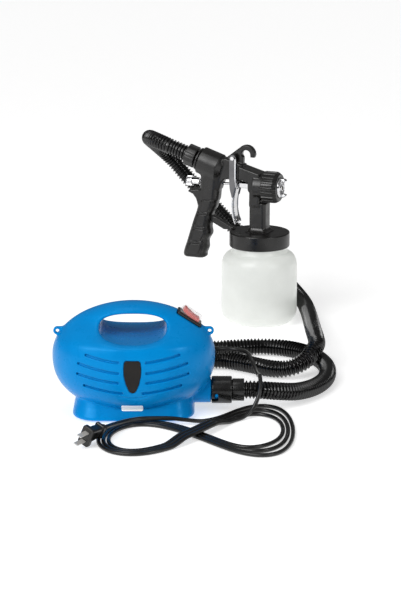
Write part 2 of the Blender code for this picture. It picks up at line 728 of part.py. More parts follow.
    # Fan case with its eye and its outlet hole, and the plate behind it
    motor = empty("motor_frame", base, (0, 0, MOTOR_Z), along_x)
    case_in = FAN_RADIUS - FAN_WALL
    eye = 0.37 * FAN_RADIUS
    case = [(FAN_RADIUS, FAN_LEFT), (FAN_RADIUS, fan_right), (eye, fan_right), (eye, fan_right - FAN_WALL)]
    case += [(case_in, fan_right - FAN_WALL), (case_in, FAN_LEFT)]
    fan_case = piece("fan_case", lathe(case, MOTOR_SIDES), "steel", motor)
    outlet_way = lathe(
        [
            (0, fan_right - 6 * MM),
            (8.5 * MM, fan_right - 6 * MM),
            (8.5 * MM, fan_right + 6 * MM),
            (0, fan_right + 6 * MM),
        ],
        20,
    )
    carve(fan_case, tool("fan_outlet_form", outlet_way, base, (0, 0, OUTLET_Z + 3 * MM), along_x))
    hub_bore = 9 * MM + SEAT
    rim_in = BRACKET_RADIUS - BRACKET_WALL
    plate_right = FAN_LEFT - SEAT
    plate = [
        (hub_bore, plate_right),
        (FAN_RADIUS, plate_right),
        (FAN_RADIUS, plate_left),
        (BRACKET_RADIUS, plate_left),
    ]
    plate += [(BRACKET_RADIUS, stator_right + SEAT), (rim_in, stator_right + SEAT), (rim_in, plate_left)]
    plate += [
        (hub_bore + 3 * MM, plate_left),
        (hub_bore + 3 * MM, plate_left - 3.5 * MM),
        (hub_bore, plate_left - 3.5 * MM),
    ]
    piece("fan_back_plate", lathe(plate, MOTOR_SIDES), "steel", motor)

    # Impeller: back disc, hub and curved blades under a front ring
    wheel_low = FAN_LEFT + 4 * MM
    wheel_high = fan_right - FAN_WALL - 4 * MM
    wheel_radius = case_in - 2.5 * MM
    bore = SHAFT_RADIUS + SEAT
    wheel = [
        (bore, wheel_low),
        (wheel_radius, wheel_low),
        (wheel_radius, wheel_low + 2 * MM),
        (bore + 6 * MM, wheel_low + 2 * MM),
    ]
    wheel += [(bore + 3 * MM, wheel_high - 6 * MM), (bore, wheel_high - 6 * MM)]
    impeller = piece("impeller", lathe(wheel, 18), "steel", motor)
    blade_bm = bmesh.new()
    for k in range(BLADES):
        rings = []
        for j in range(3):
            t = j / 2
            radius = (bore + 8 * MM) * (1 - t) + (wheel_radius - 0.6 * MM) * t
            angle = math.tau * k / BLADES - 0.7 * t
            top = wheel_high - 2 * MM - 6 * MM * t
            across = Vector((-math.sin(angle + 0.5), math.cos(angle + 0.5), 0)) * 0.6 * MM
            spot = Vector((radius * math.cos(angle), radius * math.sin(angle), 0))
            low = Vector((0, 0, wheel_low + 1 * MM))
            high = Vector((0, 0, top))
            rings.append(
                [spot - across + low, spot + across + low, spot + across + high, spot - across + high]
            )
        loft(rings, blade_bm)
    carve(impeller, tool("blade_form", blade_bm, motor), "UNION")

    # Motor
    shaft_left = bracket_left - 9 * MM
    shaft_right = wheel_high - 4 * MM
    shaft = [(0, shaft_left), (SHAFT_RADIUS, shaft_left), (SHAFT_RADIUS, shaft_right), (0, shaft_right)]
    piece("motor_shaft", lathe(shaft, 16), "steel", motor)
    core_low = stator_left - 1 * MM
    core_high = stator_right + 1 * MM
    comm_high = core_low - 4.4 * MM
    comm_low = comm_high - 8 * MM
    core = [
        (bore, comm_low),
        (10 * MM, comm_low),
        (10 * MM, comm_high),
        (7 * MM, comm_high),
        (7 * MM, core_low),
    ]
    core += [(CORE_RADIUS, core_low), (CORE_RADIUS, core_high), (bore, core_high)]
    piece("armature", lathe(core, 14), "copper", motor)
    stator = piece(
        "stator",
        slab(rounded(STATOR_HALF, STATOR_HALF, 10 * MM, 3), stator_left, stator_right),
        "steel",
        motor,
    )
    gap = CORE_RADIUS + 0.6 * MM
    stator_bore = lathe(
        [
            (0, stator_left - 0.01),
            (gap, stator_left - 0.01),
            (gap, stator_right + 0.01),
            (0, stator_right + 0.01),
        ],
        20,
    )
    carve(stator, tool("stator_bore_form", stator_bore, motor))
    coil_in = gap + 0.4 * MM
    coil_out = rim_in - 0.5 * MM
    for label, low in (
        ("front_field_coil", stator_right + SEAT), ("rear_field_coil", stator_left - SEAT - 5.5 * MM)
    ):
        high = low + 5.5 * MM
        piece(
            label,
            lathe([(coil_in, low), (coil_out, low), (coil_out, high), (coil_in, high)], 18),
            "copper",
            motor,
        )
    disc_right = bracket_left + 3 * MM
    bracket = [
        (hub_bore, bracket_left - 4 * MM),
        (hub_bore + 3 * MM, bracket_left - 4 * MM),
        (hub_bore + 3 * MM, bracket_left),
    ]
    bracket += [
        (BRACKET_RADIUS, bracket_left),
        (BRACKET_RADIUS, stator_left - SEAT),
        (rim_in, stator_left - SEAT),
    ]
    bracket += [(rim_in, disc_right), (hub_bore, disc_right)]
    piece("rear_bracket", lathe(bracket, MOTOR_SIDES), "steel", motor)
    for label, low in (("front_bearing", plate_left - 3 * MM), ("rear_bearing", bracket_left - 3.5 * MM)):
        race = [(bore, low), (9 * MM, low), (9 * MM, low + 6 * MM), (bore, low + 6 * MM)]
        piece(label, lathe(race, 14), "chrome", motor)
    for label, sign in (("front_brush_holder", -1), ("rear_brush_holder", 1)):
        y0, y1 = sorted(
            (sign * (10 * MM + SEAT), sign * (rim_in * math.cos(math.pi / MOTOR_SIDES) - 2 * SEAT))
        )
        holder = block(-3.5 * MM, 3.5 * MM, y0, y1, comm_low + 1 * MM, comm_high - 1 * MM)
        piece(label, holder, "brass", motor)
    for label, x, inner in (
        ("front_mount_ring", front_mount_x, FAN_RADIUS),
        ("rear_mount_ring", rear_mount_x, BRACKET_RADIUS),
    ):
        r0, r1 = inner + SEAT, inner + SEAT + MOUNT_RUBBER
        low, high = x - MOUNT_LENGTH / 2, x + MOUNT_LENGTH / 2
        tyre = [(r0, low), (r1, low), (r1, high), (r0, high)]
        piece(label, lathe(tyre, MOTOR_SIDES), "rubber", motor)

    # Outlet spout with two bayonet pins
    outlet = empty("outlet_frame", base, (0, 0, OUTLET_Z), along_x)
    spout_end = COLLAR_START + 16.9 * MM
    spout_start = fan_right + SEAT
    tube = [(SPOUT_BORE, spout_start), (SPOUT_RADIUS, spout_start), (SPOUT_RADIUS, spout_end - 1 * MM)]
    tube += [(SPOUT_RADIUS - 0.8 * MM, spout_end), (SPOUT_BORE, spout_end)]
    spout = piece("outlet_spout", lathe(tube, 24), "blue", outlet)
    pin_x = COLLAR_START + 6.5 * MM
    pin_bm = bmesh.new()
    for turn in (PIN_TURN, PIN_TURN + math.pi):
        out = Vector((math.cos(turn), math.sin(turn), 0))
        side_way = Vector((-math.sin(turn), math.cos(turn), 0))
        rings = []
        for reach in (SPOUT_RADIUS - 1.5 * MM, COLLAR_RADIUS - 0.4 * MM):
            ring = []
            for i in range(8):
                t = math.tau * i / 8
                ring.append(
                    out * reach + side_way * PIN_RADIUS * math.cos(t) + Vector(
                        (0, 0, pin_x + PIN_RADIUS * math.sin(t))
                    ),
                )
            rings.append(ring)
        loft(rings, pin_bm)
    carve(spout, tool("pin_form", pin_bm, outlet), "UNION")

    # Bayonet collar with an entry and a lock leg for each pin
    collar_end = COLLAR_START + COLLAR_LENGTH
    lip = 12.6 * MM
    collar_bore = SPOUT_RADIUS + RUN
    lip_start = collar_end - 3.2 * MM
    ring = [
        (collar_bore, COLLAR_START),
        (COLLAR_RADIUS - 0.6 * MM, COLLAR_START),
        (COLLAR_RADIUS, COLLAR_START + 0.8 * MM),
    ]
    ring += [
        (COLLAR_RADIUS, collar_end - 0.8 * MM),
        (COLLAR_RADIUS - 0.6 * MM, collar_end),
        (lip, collar_end),
    ]
    ring += [(lip, lip_start), (collar_bore, lip_start)]
    collar = piece("hose_collar", lathe(ring, 20), "black", outlet)
    slot_half = PIN_RADIUS + RUN
    slot_angle = slot_half / (SPOUT_RADIUS + 2 * MM)
    for k, turn in enumerate((PIN_TURN, PIN_TURN + math.pi)):
        inner, outer = SPOUT_RADIUS - 0.6 * MM, COLLAR_RADIUS + 2 * MM
        leg = ring_sector(
            inner,
            outer,
            pin_x - slot_half,
            pin_x + slot_half,
            turn - slot_angle,
            turn + LOCK_TURN + slot_angle,
            6,
        )
        carve(collar, tool(f"lock_leg_form_{k}", leg, outlet))
        way = turn + LOCK_TURN
        entry = ring_sector(
            inner, outer, COLLAR_START - 2 * MM, pin_x, way - slot_angle, way + slot_angle, 2
        )
        carve(collar, tool(f"entry_leg_form_{k}", entry, outlet))

    # Hose sleeve held by the collar lip
    flange_start = spout_end + 0.5 * MM
    sleeve_end = collar_end + 0.5 * MM + SLEEVE_LENGTH
    hose_start = collar_end + 1.9 * MM
    grip = [
        (9 * MM, flange_start),
        (SPOUT_RADIUS - SEAT, flange_start),
        (SPOUT_RADIUS - SEAT, lip_start - RUN),
    ]
    grip += [
        (lip - RUN, lip_start - RUN),
        (lip - RUN, collar_end + RUN),
        (SLEEVE_RADIUS - 0.5 * MM, collar_end + RUN),
    ]
    grip += [
        (SLEEVE_RADIUS, collar_end + RUN + 0.8 * MM),
        (SLEEVE_RADIUS, sleeve_end - 0.8 * MM),
        (SLEEVE_RADIUS - 0.8 * MM, sleeve_end),
    ]
    grip += [
        (HOSE_RADIUS + SEAT, sleeve_end),
        (HOSE_RADIUS + SEAT, hose_start - SEAT),
        (9 * MM, hose_start - SEAT),
    ]
    piece("hose_sleeve", lathe(grip, 16), "black", outlet)
    return hose_start, sleeve_end


# Routes in metres from the middle of the base, chosen by hand for a gun at this place
ROUTE_GUN_PLACE = (0.1753, 0.4564)
HOSE_ROUTE = (
    (0.1900, 0.0130, 0.0238),
    (0.2150, 0.0330, 0.0175),
    (0.2390, 0.0660, 0.0135),
    (0.2560, 0.1050, 0.0125),
    (0.2620, 0.1480, 0.0125),
    (0.2580, 0.1890, 0.0125),
    (0.2430, 0.2280, 0.0125),
    (0.2150, 0.2580, 0.0125),
    (0.1780, 0.2710, 0.0125),
    (0.1400, 0.2660, 0.0125),
    (0.1120, 0.2600, 0.0125),
    (0.0820, 0.2630, 0.0125),
    (0.0500, 0.2790, 0.0125),
    (0.0230, 0.2960, 0.0125),
    (-0.0090, 0.3030, 0.0125),
    (-0.0430, 0.2930, 0.0125),
    (-0.0670, 0.2650, 0.0125),
    (-0.0750, 0.2290, 0.0125),
    (-0.0650, 0.1930, 0.0125),
    (-0.0380, 0.1670, 0.0125),
    (-0.0020, 0.1580, 0.0125),
    (0.0340, 0.1660, 0.0125),
    (0.0640, 0.1830, 0.0125),
    (0.0940, 0.1980, 0.0125),
    (0.1240, 0.1985, 0.0125),
    (0.1520, 0.1825, 0.0125),
    (0.1780, 0.1625, 0.0125),
    (0.2000, 0.1525, 0.0135),
    (0.2190, 0.1525, 0.0180),
    (0.2345, 0.1610, 0.0260),
    (0.2435, 0.1755, 0.0337),
    (0.2475, 0.1930, 0.0380),
    (0.2475, 0.2140, 0.0395),
    (0.2465, 0.2400, 0.0388),
    (0.2458, 0.2720, 0.0352),
    (0.2455, 0.3080, 0.0305),
    (0.2455, 0.3520, 0.0255),
    (0.2460, 0.4000, 0.0208),
    (0.2462, 0.4480, 0.0178),
    (0.2420, 0.4930, 0.0205),
    (0.2270, 0.5350, 0.0330),
    (0.1960, 0.5720, 0.0590),
    (0.1500, 0.6020, 0.1010),
    (0.1050, 0.6260, 0.1450),
    (0.0640, 0.6440, 0.1850),
    (0.0370, 0.6490, 0.2140),
    (0.0170, 0.6360, 0.2360),
    (0.0065, 0.6080, 0.2510),
    (0.0045, 0.5740, 0.2605),
    (0.0085, 0.5480, 0.2650),
    (0.0190, 0.5265, 0.2645),
)

CORD_ROUTE = (
    (0.0610, 0.1110, 0.0680),
    (0.0750, 0.1430, 0.0580),
    (0.0925, 0.1750, 0.0420),
    (0.1070, 0.1955, 0.0310),
    (0.1305, 0.2025, 0.0284),
    (0.1510, 0.1860, 0.0284),
    (0.1580, 0.1540, 0.0250),
    (0.1625, 0.1240, 0.0220),
    (0.1645, 0.0920, 0.0240),
    (0.1650, 0.0580, 0.0320),
    (0.1645, 0.0270, 0.0425),
    (0.1650, 0.0070, 0.0465),
    (0.1655, -0.0080, 0.0430),
    (0.1640, -0.0190, 0.0315),
    (0.1595, -0.0245, 0.0195),
    (0.1530, -0.0290, 0.0095),
)

TAIL_ROUTE = (
    (0.1105, -0.0390, 0.0034),
    (0.0985, -0.0505, 0.0040),
    (0.0860, -0.0580, 0.0050),
    (0.0680, -0.0610, 0.0076),
    (0.0500, -0.0615, 0.0098),
    (0.0300, -0.0620, 0.0102),
    (0.0100, -0.0640, 0.0102),
    (-0.0080, -0.0750, 0.0106),
    (-0.0210, -0.0940, 0.0128),
)


def hank_spot(phase):
    """One spot of the figure of eight: loops a pitch apart, fanned on the right, one leg riding over."""
    def bare(t):
        turn = (t - HANK_START) / math.tau
        fan = HANK_FAN * (1.0 - turn / HANK_LOOPS) * smooth_step(math.cos(t), 0.2, 1.0)
        width = (HANK_HALF_WIDTH + HANK_SKEW * math.cos(t)) * (1.0 - fan)
        x = HANK_CENTRE[0] + HANK_HALF_LENGTH * math.cos(t)
        y = HANK_CENTRE[1] + HANK_LEAN * math.cos(t) + width * math.sin(2 * t)
        return Vector((x, y, 0.0))

    ahead = bare(phase + 1e-4) - bare(phase - 1e-4)
    left = Vector((-ahead.y, ahead.x, 0.0)).normalized()
    loops = (phase - HANK_START) / math.tau
    away = abs((phase - math.pi / 2 + math.pi) % math.tau - math.pi)
    hump = 1.0 - smooth_step(away, 0.13, 0.34)
    lift = CORD_RADIUS + SEAT + hump * (2 * CORD_RADIUS + 1.0 * MM)
    return bare(phase) + left * (HANK_LOOPS / 2 - loops) * HANK_PITCH + Vector((0, 0, lift))


def build_lead(root, gland_tip, gland_way):
    spots = [
        hank_spot(HANK_START + math.tau * i / HANK_LOOP_STEPS)
        for i in range(HANK_LOOPS * HANK_LOOP_STEPS + 1)
    ]
    way = Vector((math.cos(PLUG_TURN), math.sin(PLUG_TURN), 0.0))
    plug_rear = Vector(PLUG_REAR)
    cord_end = plug_rear - way * SEAT
    tail = [spots[-2], spots[-1], *[Vector(s) for s in TAIL_ROUTE], cord_end - way * 2 * CORD_RADIUS]
    tail_route, _ = smooth_route(tail, 6 * CORD_RADIUS)
    skip = 0
    while (tail_route[skip] - spots[-1]).length > 4 * CORD_RADIUS or skip < 1:
        skip += 1
    hank_route = spots + tail_route[skip + 1:] + [cord_end]
    fine, total = smooth_route(hank_route, CORD_RADIUS)
    print("least gap of the hank to itself, mm:", round(least_self_gap(fine, CORD_RADIUS) / MM, 2))
    print("hank and tail length, m:", round(total, 3))
    cord_tube("power_cord_hank", hank_route, CORD_RADIUS, "rubber", root, 1)

    first_way = (spots[1] - spots[0]).normalized()
    join = spots[0] - first_way * SEAT
    start = gland_tip + gland_way * SEAT
    run = [
        start + gland_way * 2 * CORD_RADIUS,
        *[Vector(s) for s in CORD_ROUTE],
        join - first_way * 9 * MM + Vector((0, 0, 1 * MM)),
    ]
    middle, run_total = smooth_route(run, 5 * CORD_RADIUS)
    run_route = [start, *middle, join]
    print("cord run length, m:", round(run_total + 4 * CORD_RADIUS, 3))
    cord_tube("power_cord_run", run_route, CORD_RADIUS, "rubber", root, 1)

    # Two-blade plug lying on its edge
    plug = empty("plug_frame", root, plug_rear, (math.pi / 2, 0.0, PLUG_TURN + math.pi / 2))
    roll = empty("plug_roll", plug, (0, 0, 0), (0, 0, PLUG_ROLL))
    rings = []
    sections = (
        (0.0, 4.2, 4.2, 4.1),
        (0.23, 5.2, 5.0, 4.4),
        (0.3, 9.0, 6.2, 4.8),
        (0.78, 10.2, 6.8, 4.8),
        (0.88, 12.4, 8.2, 5.2),
        (0.93, 13.0, 8.5, 5.2),
        (1.0, 13.0, 8.5, 5.2),
    )
    for share, half_x, half_y, corner in sections:
        ring = rounded(half_x * MM, half_y * MM, min(corner, half_y - 0.05) * MM, 2)
        rings.append([(x, y, share * PLUG_LENGTH) for x, y in ring])
    body = piece("plug_body", loft(rings), "rubber", roll)
    for k, x in enumerate((-6.35 * MM, 6.35 * MM)):
        forms = []
        for gap in (0.0, SEAT):
            outline = [(x - 0.75 * MM - gap, -3.15 * MM - gap), (x + 0.75 * MM + gap, -3.15 * MM - gap)]
            outline += [(x + 0.75 * MM + gap, 3.15 * MM + gap), (x - 0.75 * MM - gap, 3.15 * MM + gap)]
            forms.append(slab(outline, PLUG_LENGTH - 8 * MM - gap, PLUG_LENGTH + BLADE_LENGTH + 10 * gap))
        piece(f"plug_blade_{k + 1}", forms[0], "brass", roll)
        carve(body, tool(f"blade_slot_form_{k + 1}", forms[1], roll))


def build_hose(root, hose_start, sleeve_end, gun_end, gun_way):
    spots = [Vector((hose_start, 0, OUTLET_Z)), Vector((sleeve_end, 0, OUTLET_Z))]
    spots += [
        Vector((sleeve_end + 0.9 * HOSE_RADIUS, 0.0003, OUTLET_Z - 0.0002)),
        Vector((sleeve_end + 2 * HOSE_RADIUS, 0.0030, OUTLET_Z - 0.0017)),
    ]
    gun_shift = Vector((GUN_ASIDE - ROUTE_GUN_PLACE[0], GUN_AWAY - ROUTE_GUN_PLACE[1], 0.0))
    for spot in HOSE_ROUTE:
        spots.append(Vector(spot) + gun_shift * smooth_step(spot[1], 0.32, ROUTE_GUN_PLACE[1]))
    spots += [
        gun_end - gun_way * 48 * MM, gun_end - gun_way * 32 * MM, gun_end - gun_way * 16 * MM, gun_end
    ]
    dense, total = smooth_route(spots, 1.0 * MM)
    print("hose length, m:", round(total, 3))
    print("least gap of the hose to itself, mm:", round(least_self_gap(dense[::4], HOSE_RADIUS) / MM, 2))

    sides = HOSE_SIDES
    last = len(dense) - 1
    bm = bmesh.new()

    # One set of frames along the route serves both walls, so that their corners stay in line.
    ways, ups, bends = [], [], [0.0]
    up = Vector((0, 0, 1))
    for i in range(last + 1):
        way = (dense[min(i + 3, last)] - dense[max(i - 2, 0)]).normalized()
        up = (up - way * up.dot(way)).normalized()
        if ways:
            span = (dense[i] - dense[i - 1]).length
            turn = math.acos(max(-1.0, min(1.0, ways[-1].dot(way))))
            bends.append(bends[-1] + span / BORE_STRAIGHT + math.sqrt(turn * span / (8 * BORE_SAG)))
        ways.append(way)
        ups.append(up)

    def rings_along(places, radii):
        loops = []
        for k, place in enumerate(places):
            i = min(int(place), last - 1)
            spot = dense[i].lerp(dense[i + 1], place - i)
            up = ups[i]
            across = ways[i].cross(up)
            radius = radii(k)
            ring = []
            for s in range(sides):
                t = math.tau * s / sides
                ring.append(bm.verts.new(spot + up * radius * math.cos(t) + across * radius * math.sin(t)))
            loops.append(ring)
        return loops

    def skin(loops):
        for low, high in zip(loops, loops[1:]):
            for s in range(sides):
                n = (s + 1) % sides
                bm.faces.new((low[s], low[n], high[n], high[s]))

    # The ribs stand at even steps; the bore's rings crowd together where the hose bends.
    rings = 2 * HOSE_RIBS
    even = [k / (rings - 1) * last for k in range(rings)]
    count = math.ceil(bends[-1])
    crowded, i = [], 0
    for k in range(count + 1):
        target = bends[-1] * k / count
        while i < last - 1 and bends[i + 1] < target:
            i += 1
        crowded.append(i + (target - bends[i]) / (bends[i + 1] - bends[i]))
    outer = rings_along(even, lambda k: HOSE_RADIUS if k % 2 else HOSE_VALLEY)
    inner = rings_along(crowded, lambda k: HOSE_BORE)
    print("rings of the hose's bore:", len(inner))
    skin(outer)
    skin(inner)
    for a, b in ((outer[0], inner[0]), (outer[-1], inner[-1])):
        for s in range(sides):
            n = (s + 1) % sides
            bm.faces.new((a[s], a[n], b[n], b[s]))
    piece("air_hose", bm, "black", root, crease=60.0)


def grip_section(z, front, rear, half):
    middle = (front + rear) / 2
    reach = (front - rear) / 2
    return [(middle + x, y, z) for x, y in rounded(reach, half, 0.8 * half, 2)]


def build_gun(root):
    gun = empty("gun_frame", root, (*GUN_PLACE, 0.0), (0, 0, GUN_TURN))
    along_u = (0.0, math.pi / 2, 0.0)
    inlet = empty("inlet_frame", gun, (INLET_U, 0, INLET_Z), (0, INLET_TILT - math.pi / 2, 0))
    needle_line = empty("needle_frame", gun, (0, 0, NEEDLE_Z), along_u)
    ring_in = RING_RADIUS - 3.2 * MM
    boss_radius = ring_in - RUN

    # Body: front block, web, stem, rear barrel, grip, tang, guard strut and hook
    u = MM
    nz = NEEDLE_Z
    front_block = [
        (-29.5 * u, nz + 9.7 * MM),
        (-15 * u, nz + 6.5 * MM),
        (-15 * u, nz - 5 * MM),
        (-12.4 * u, nz - 9 * MM),
    ]
    front_block += [
        (-12.4 * u, nz - 29 * MM),
        (4 * u, nz - 29 * MM),
        (4 * u, nz + 20.3 * MM),
        (-29.5 * u, nz + 30 * MM),
    ]
    body_bm = prism(front_block, -BLOCK_HALF, BLOCK_HALF)
    sharp = [e for e in body_bm.edges if abs(e.verts[0].co.y - e.verts[1].co.y) < 1e-9]
    bmesh.ops.bevel(body_bm, geom=sharp, offset=1.6 * MM, segments=1, affect="EDGES")
    body = piece("gun_body", body_bm, "black", gun)
    joined = []
    cut = []

    web = [
        (-24 * u, nz + 8 * MM),
        (-24 * u, nz + 31 * MM),
        (-52 * u, nz + 40 * MM),
        (-78 * u, nz + 32 * MM),
        (-78 * u, nz - 6 * MM),
    ]
    web += [(-62 * u, nz - 8 * MM), (-57 * u, nz + 4 * MM), (-52 * u, nz + 8 * MM)]
    joined.append(tool("web_form", prism(web, -WEB_HALF, WEB_HALF), gun))

    stem_rings = []
    stem_low = LID_TOP_Z + SEAT
    flare = ((0.0, 0.8), (0.12, 0.52), (0.42, 0.19), (1.0, 0.0))
    levels = [(stem_low + share * STEM_FLARE, grow * STEM_FLARE) for share, grow in flare]
    for z, grow in levels + [(nz - 27 * MM, 0.0)]:
        half = STEM_HALF + grow
        stem_rings.append([(x, y, z) for x, y in rounded(half, half, 0.4 * half, 3)])
    joined.append(tool("stem_form", loft(stem_rings), gun))

    barrel = [(0, -44 * MM), (14 * MM, -44 * MM), (BARREL_RADIUS, -37 * MM), (BARREL_RADIUS, -6.5 * MM)]
    barrel += [(12 * MM, -6.5 * MM), (12 * MM, -4.5 * MM), (17.2 * MM, -4.5 * MM)]
    barrel += [
        (17.2 * MM, -1.5 * MM),
        (11 * MM, -1.5 * MM),
        (11 * MM, 0.7 * MM),
        (SPIGOT_RADIUS, 0.7 * MM),
        (SPIGOT_RADIUS, 13 * MM),
    ]
    barrel += [(0, 13 * MM)]
    joined.append(tool("barrel_form", lathe(barrel, 16), inlet))

    grip_rings = []
    for z, front, rear, half in (
        (-115.8, -83.5, -121.5, 13.5),
        (-103.8, -83.0, -119.2, 14.2),
        (-96.8, -80.0, -116.4, 14.2),
        (-83.8, -79.0, -112.5, 14.0),
        (-77.8, -75.2, -110.5, 14.0),
        (-69.8, -74.3, -108.0, 14.0),
        (-59.8, -76.0, -105.0, 13.6),
        (-41.8, -70.0, -98.5, 13.4),
        (-23.8, -63.5, -94.6, 13.4),
        (14.2, -60.0, -92.0, 13.4),
    ):
        grip_rings.append(grip_section(nz + z * MM, front * u, rear * u, half * MM))
    joined.append(tool("grip_form", loft(grip_rings), gun))

    tang = [
        (-88 * u, nz - 9.8 * MM),
        (-110 * u, nz - 11.8 * MM),
        (-112 * u, nz - 14.8 * MM),
        (-104 * u, nz - 18.3 * MM),
        (-99 * u, nz - 24.8 * MM),
        (-96 * u, nz - 33.8 * MM),
        (-88 * u, nz - 33.8 * MM),
    ]
    joined.append(tool("tang_form", prism(tang, -10 * MM, 10 * MM), gun))

    low_end = LID_TOP_Z + SEAT
    strut = [
        (-80 * u, nz - 60.3 * MM),
        (-76 * u, nz - 59.1 * MM),
        (-56 * u, LID_TOP_Z - 1.0 * MM),
        (-47.5 * u, LID_TOP_Z - 1.0 * MM),
        (-44.9 * u, low_end),
    ]
    strut += [
        (-39 * u, low_end),
        (-40 * u, LID_TOP_Z + 2.7 * MM),
        (-46 * u, LID_TOP_Z + 4.7 * MM),
        (-68 * u, nz - 52.0 * MM),
        (-76 * u, nz - 49.8 * MM),
    ]
    joined.append(tool("strut_form", prism(strut, -5 * MM, 5 * MM), gun))

    eye = (-21 * u, nz + 46.6 * MM)
    hook = [(-50 * u, nz + 34.2 * MM), (-52 * u, nz + 40.2 * MM)] + arc(eye, 14.2 * MM, 118, -2, 6)
    hook += [(-8 * u, nz + 42.6 * MM), (-14 * u, nz + 42.6 * MM)] + arc(eye, 6.6 * MM, 0, 190, 6)
    hook += [(-25.2 * u, nz + 42.2 * MM), (-25.4 * u, nz + 28.2 * MM), (-40 * u, nz + 28.2 * MM)]
    joined.append(tool("hook_form", prism(hook, -4.5 * MM, 4.5 * MM), gun))

    boss = lathe([(0, -6 * MM), (boss_radius, -6 * MM), (boss_radius, 9 * MM), (0, 9 * MM)], 16)
    joined.append(tool("boss_form", boss, needle_line))

    needle_bore = [
        (0, -112 * MM),
        (4.2 * MM, -112 * MM),
        (4.2 * MM, -70 * MM),
        (2.7 * MM, -70 * MM),
        (2.7 * MM, -22 * MM),
    ]
    needle_bore += [(4.4 * MM, -22 * MM), (4.4 * MM, -10 * MM), (2.4 * MM, -10 * MM), (2.4 * MM, 1 * MM)]
    needle_bore += [(8.3 * MM, 1 * MM), (8.3 * MM, 11 * MM), (0, 11 * MM)]
    cut.append(tool("needle_bore_form", lathe(needle_bore, 14), needle_line))
    air_way = lathe([(0, -30 * MM), (5.4 * MM, -30 * MM), (5.4 * MM, 20 * MM), (0, 20 * MM)], 12)
    cut.append(tool("air_way_form", air_way, inlet))
    pin_hole = arc(PIVOT, 2.0 * MM + SEAT, 0, 315, 7)
    cut.append(tool("pin_hole_form", prism(pin_hole, -0.03, 0.03), gun))
    feed = lathe(
        [
            (0, LID_TOP_Z - 10 * MM),
            (3.5 * MM, LID_TOP_Z - 10 * MM),
            (3.5 * MM, nz - 3 * MM),
            (0, nz - 3 * MM),
        ],
        10,
    )
    cut.append(tool("feed_form", feed, gun))

    # Cup, lid, gasket and pickup tube
    r, c, w = CUP_RADIUS, CUP_CORNER, CUP_WALL
    outside = [(0, 1.5 * MM), (0.5 * r, 1.5 * MM), (0.54 * r, 0.0)]
    outside += [(r - c + c * math.sin(t), c - c * math.cos(t)) for t in (0, 0.55, 1.1)] + [(r, c + 1 * MM)]
    neck_z = LID_LOW_Z - 9.5 * MM
    outside += [(r, CUP_SHOULDER_Z)]
    for k in range(1, 4):
        t = k / 3 * math.pi / 2
        outside.append(
            (
                NECK_RADIUS + 1.5 * MM + (r - NECK_RADIUS - 1.5 * MM) * math.cos(t),
                CUP_SHOULDER_Z + (neck_z - CUP_SHOULDER_Z) * math.sin(t),
            ),
        )
    rim_z = LID_TOP_Z - LID_WALL - 2.2 * MM
    outside += [(NECK_RADIUS, neck_z + 2 * MM), (NECK_RADIUS, rim_z)]
    inside = [(max(0.0, a - w), b + (w if b < c else 0.0)) for a, b in outside[3:7]]
    inside = [(0, 1.5 * MM + w), (0.5 * r, 1.5 * MM + w)] + [(a, b) for a, b in inside if a > 0.55 * r]
    inside += [(a - w, b) for a, b in outside[7:-2]] + [
        (NECK_RADIUS - w, neck_z + 1 * MM), (NECK_RADIUS - w, rim_z)
    ]
    piece("paint_cup", lathe(outside + inside[::-1], 24), "white", gun)
    roof = LID_TOP_Z - LID_WALL
    socket = 5.0 * MM
    lid = [
        (socket, roof),
        (LID_RADIUS - LID_WALL, roof),
        (LID_RADIUS - LID_WALL, LID_LOW_Z),
        (LID_RADIUS, LID_LOW_Z),
    ]
    lid += [
        (LID_RADIUS, LID_TOP_Z - 2.5 * MM),
        (LID_RADIUS - 0.8 * MM, LID_TOP_Z - 0.8 * MM),
        (LID_RADIUS - 2.5 * MM, LID_TOP_Z),
    ]
    lid += [(socket, LID_TOP_Z)]
    piece("cup_lid", lathe(lid, 24), "black", gun)
    gasket = [
        (NECK_RADIUS - 5 * MM, rim_z + SEAT),
        (NECK_RADIUS - SEAT, rim_z + SEAT),
        (NECK_RADIUS - SEAT, roof - SEAT),
        (NECK_RADIUS - 5 * MM, roof - SEAT),
    ]
    piece("lid_gasket", lathe(gasket, 18), "white", gun)
    tube_out = socket - SEAT
    tube = [
        (3.2 * MM, 9 * MM),
        (tube_out, 7 * MM),
        (tube_out, LID_TOP_Z - 0.5 * MM),
        (3.2 * MM, LID_TOP_Z - 0.5 * MM),
    ]
    piece("pickup_tube", lathe(tube, 12), "white", gun)

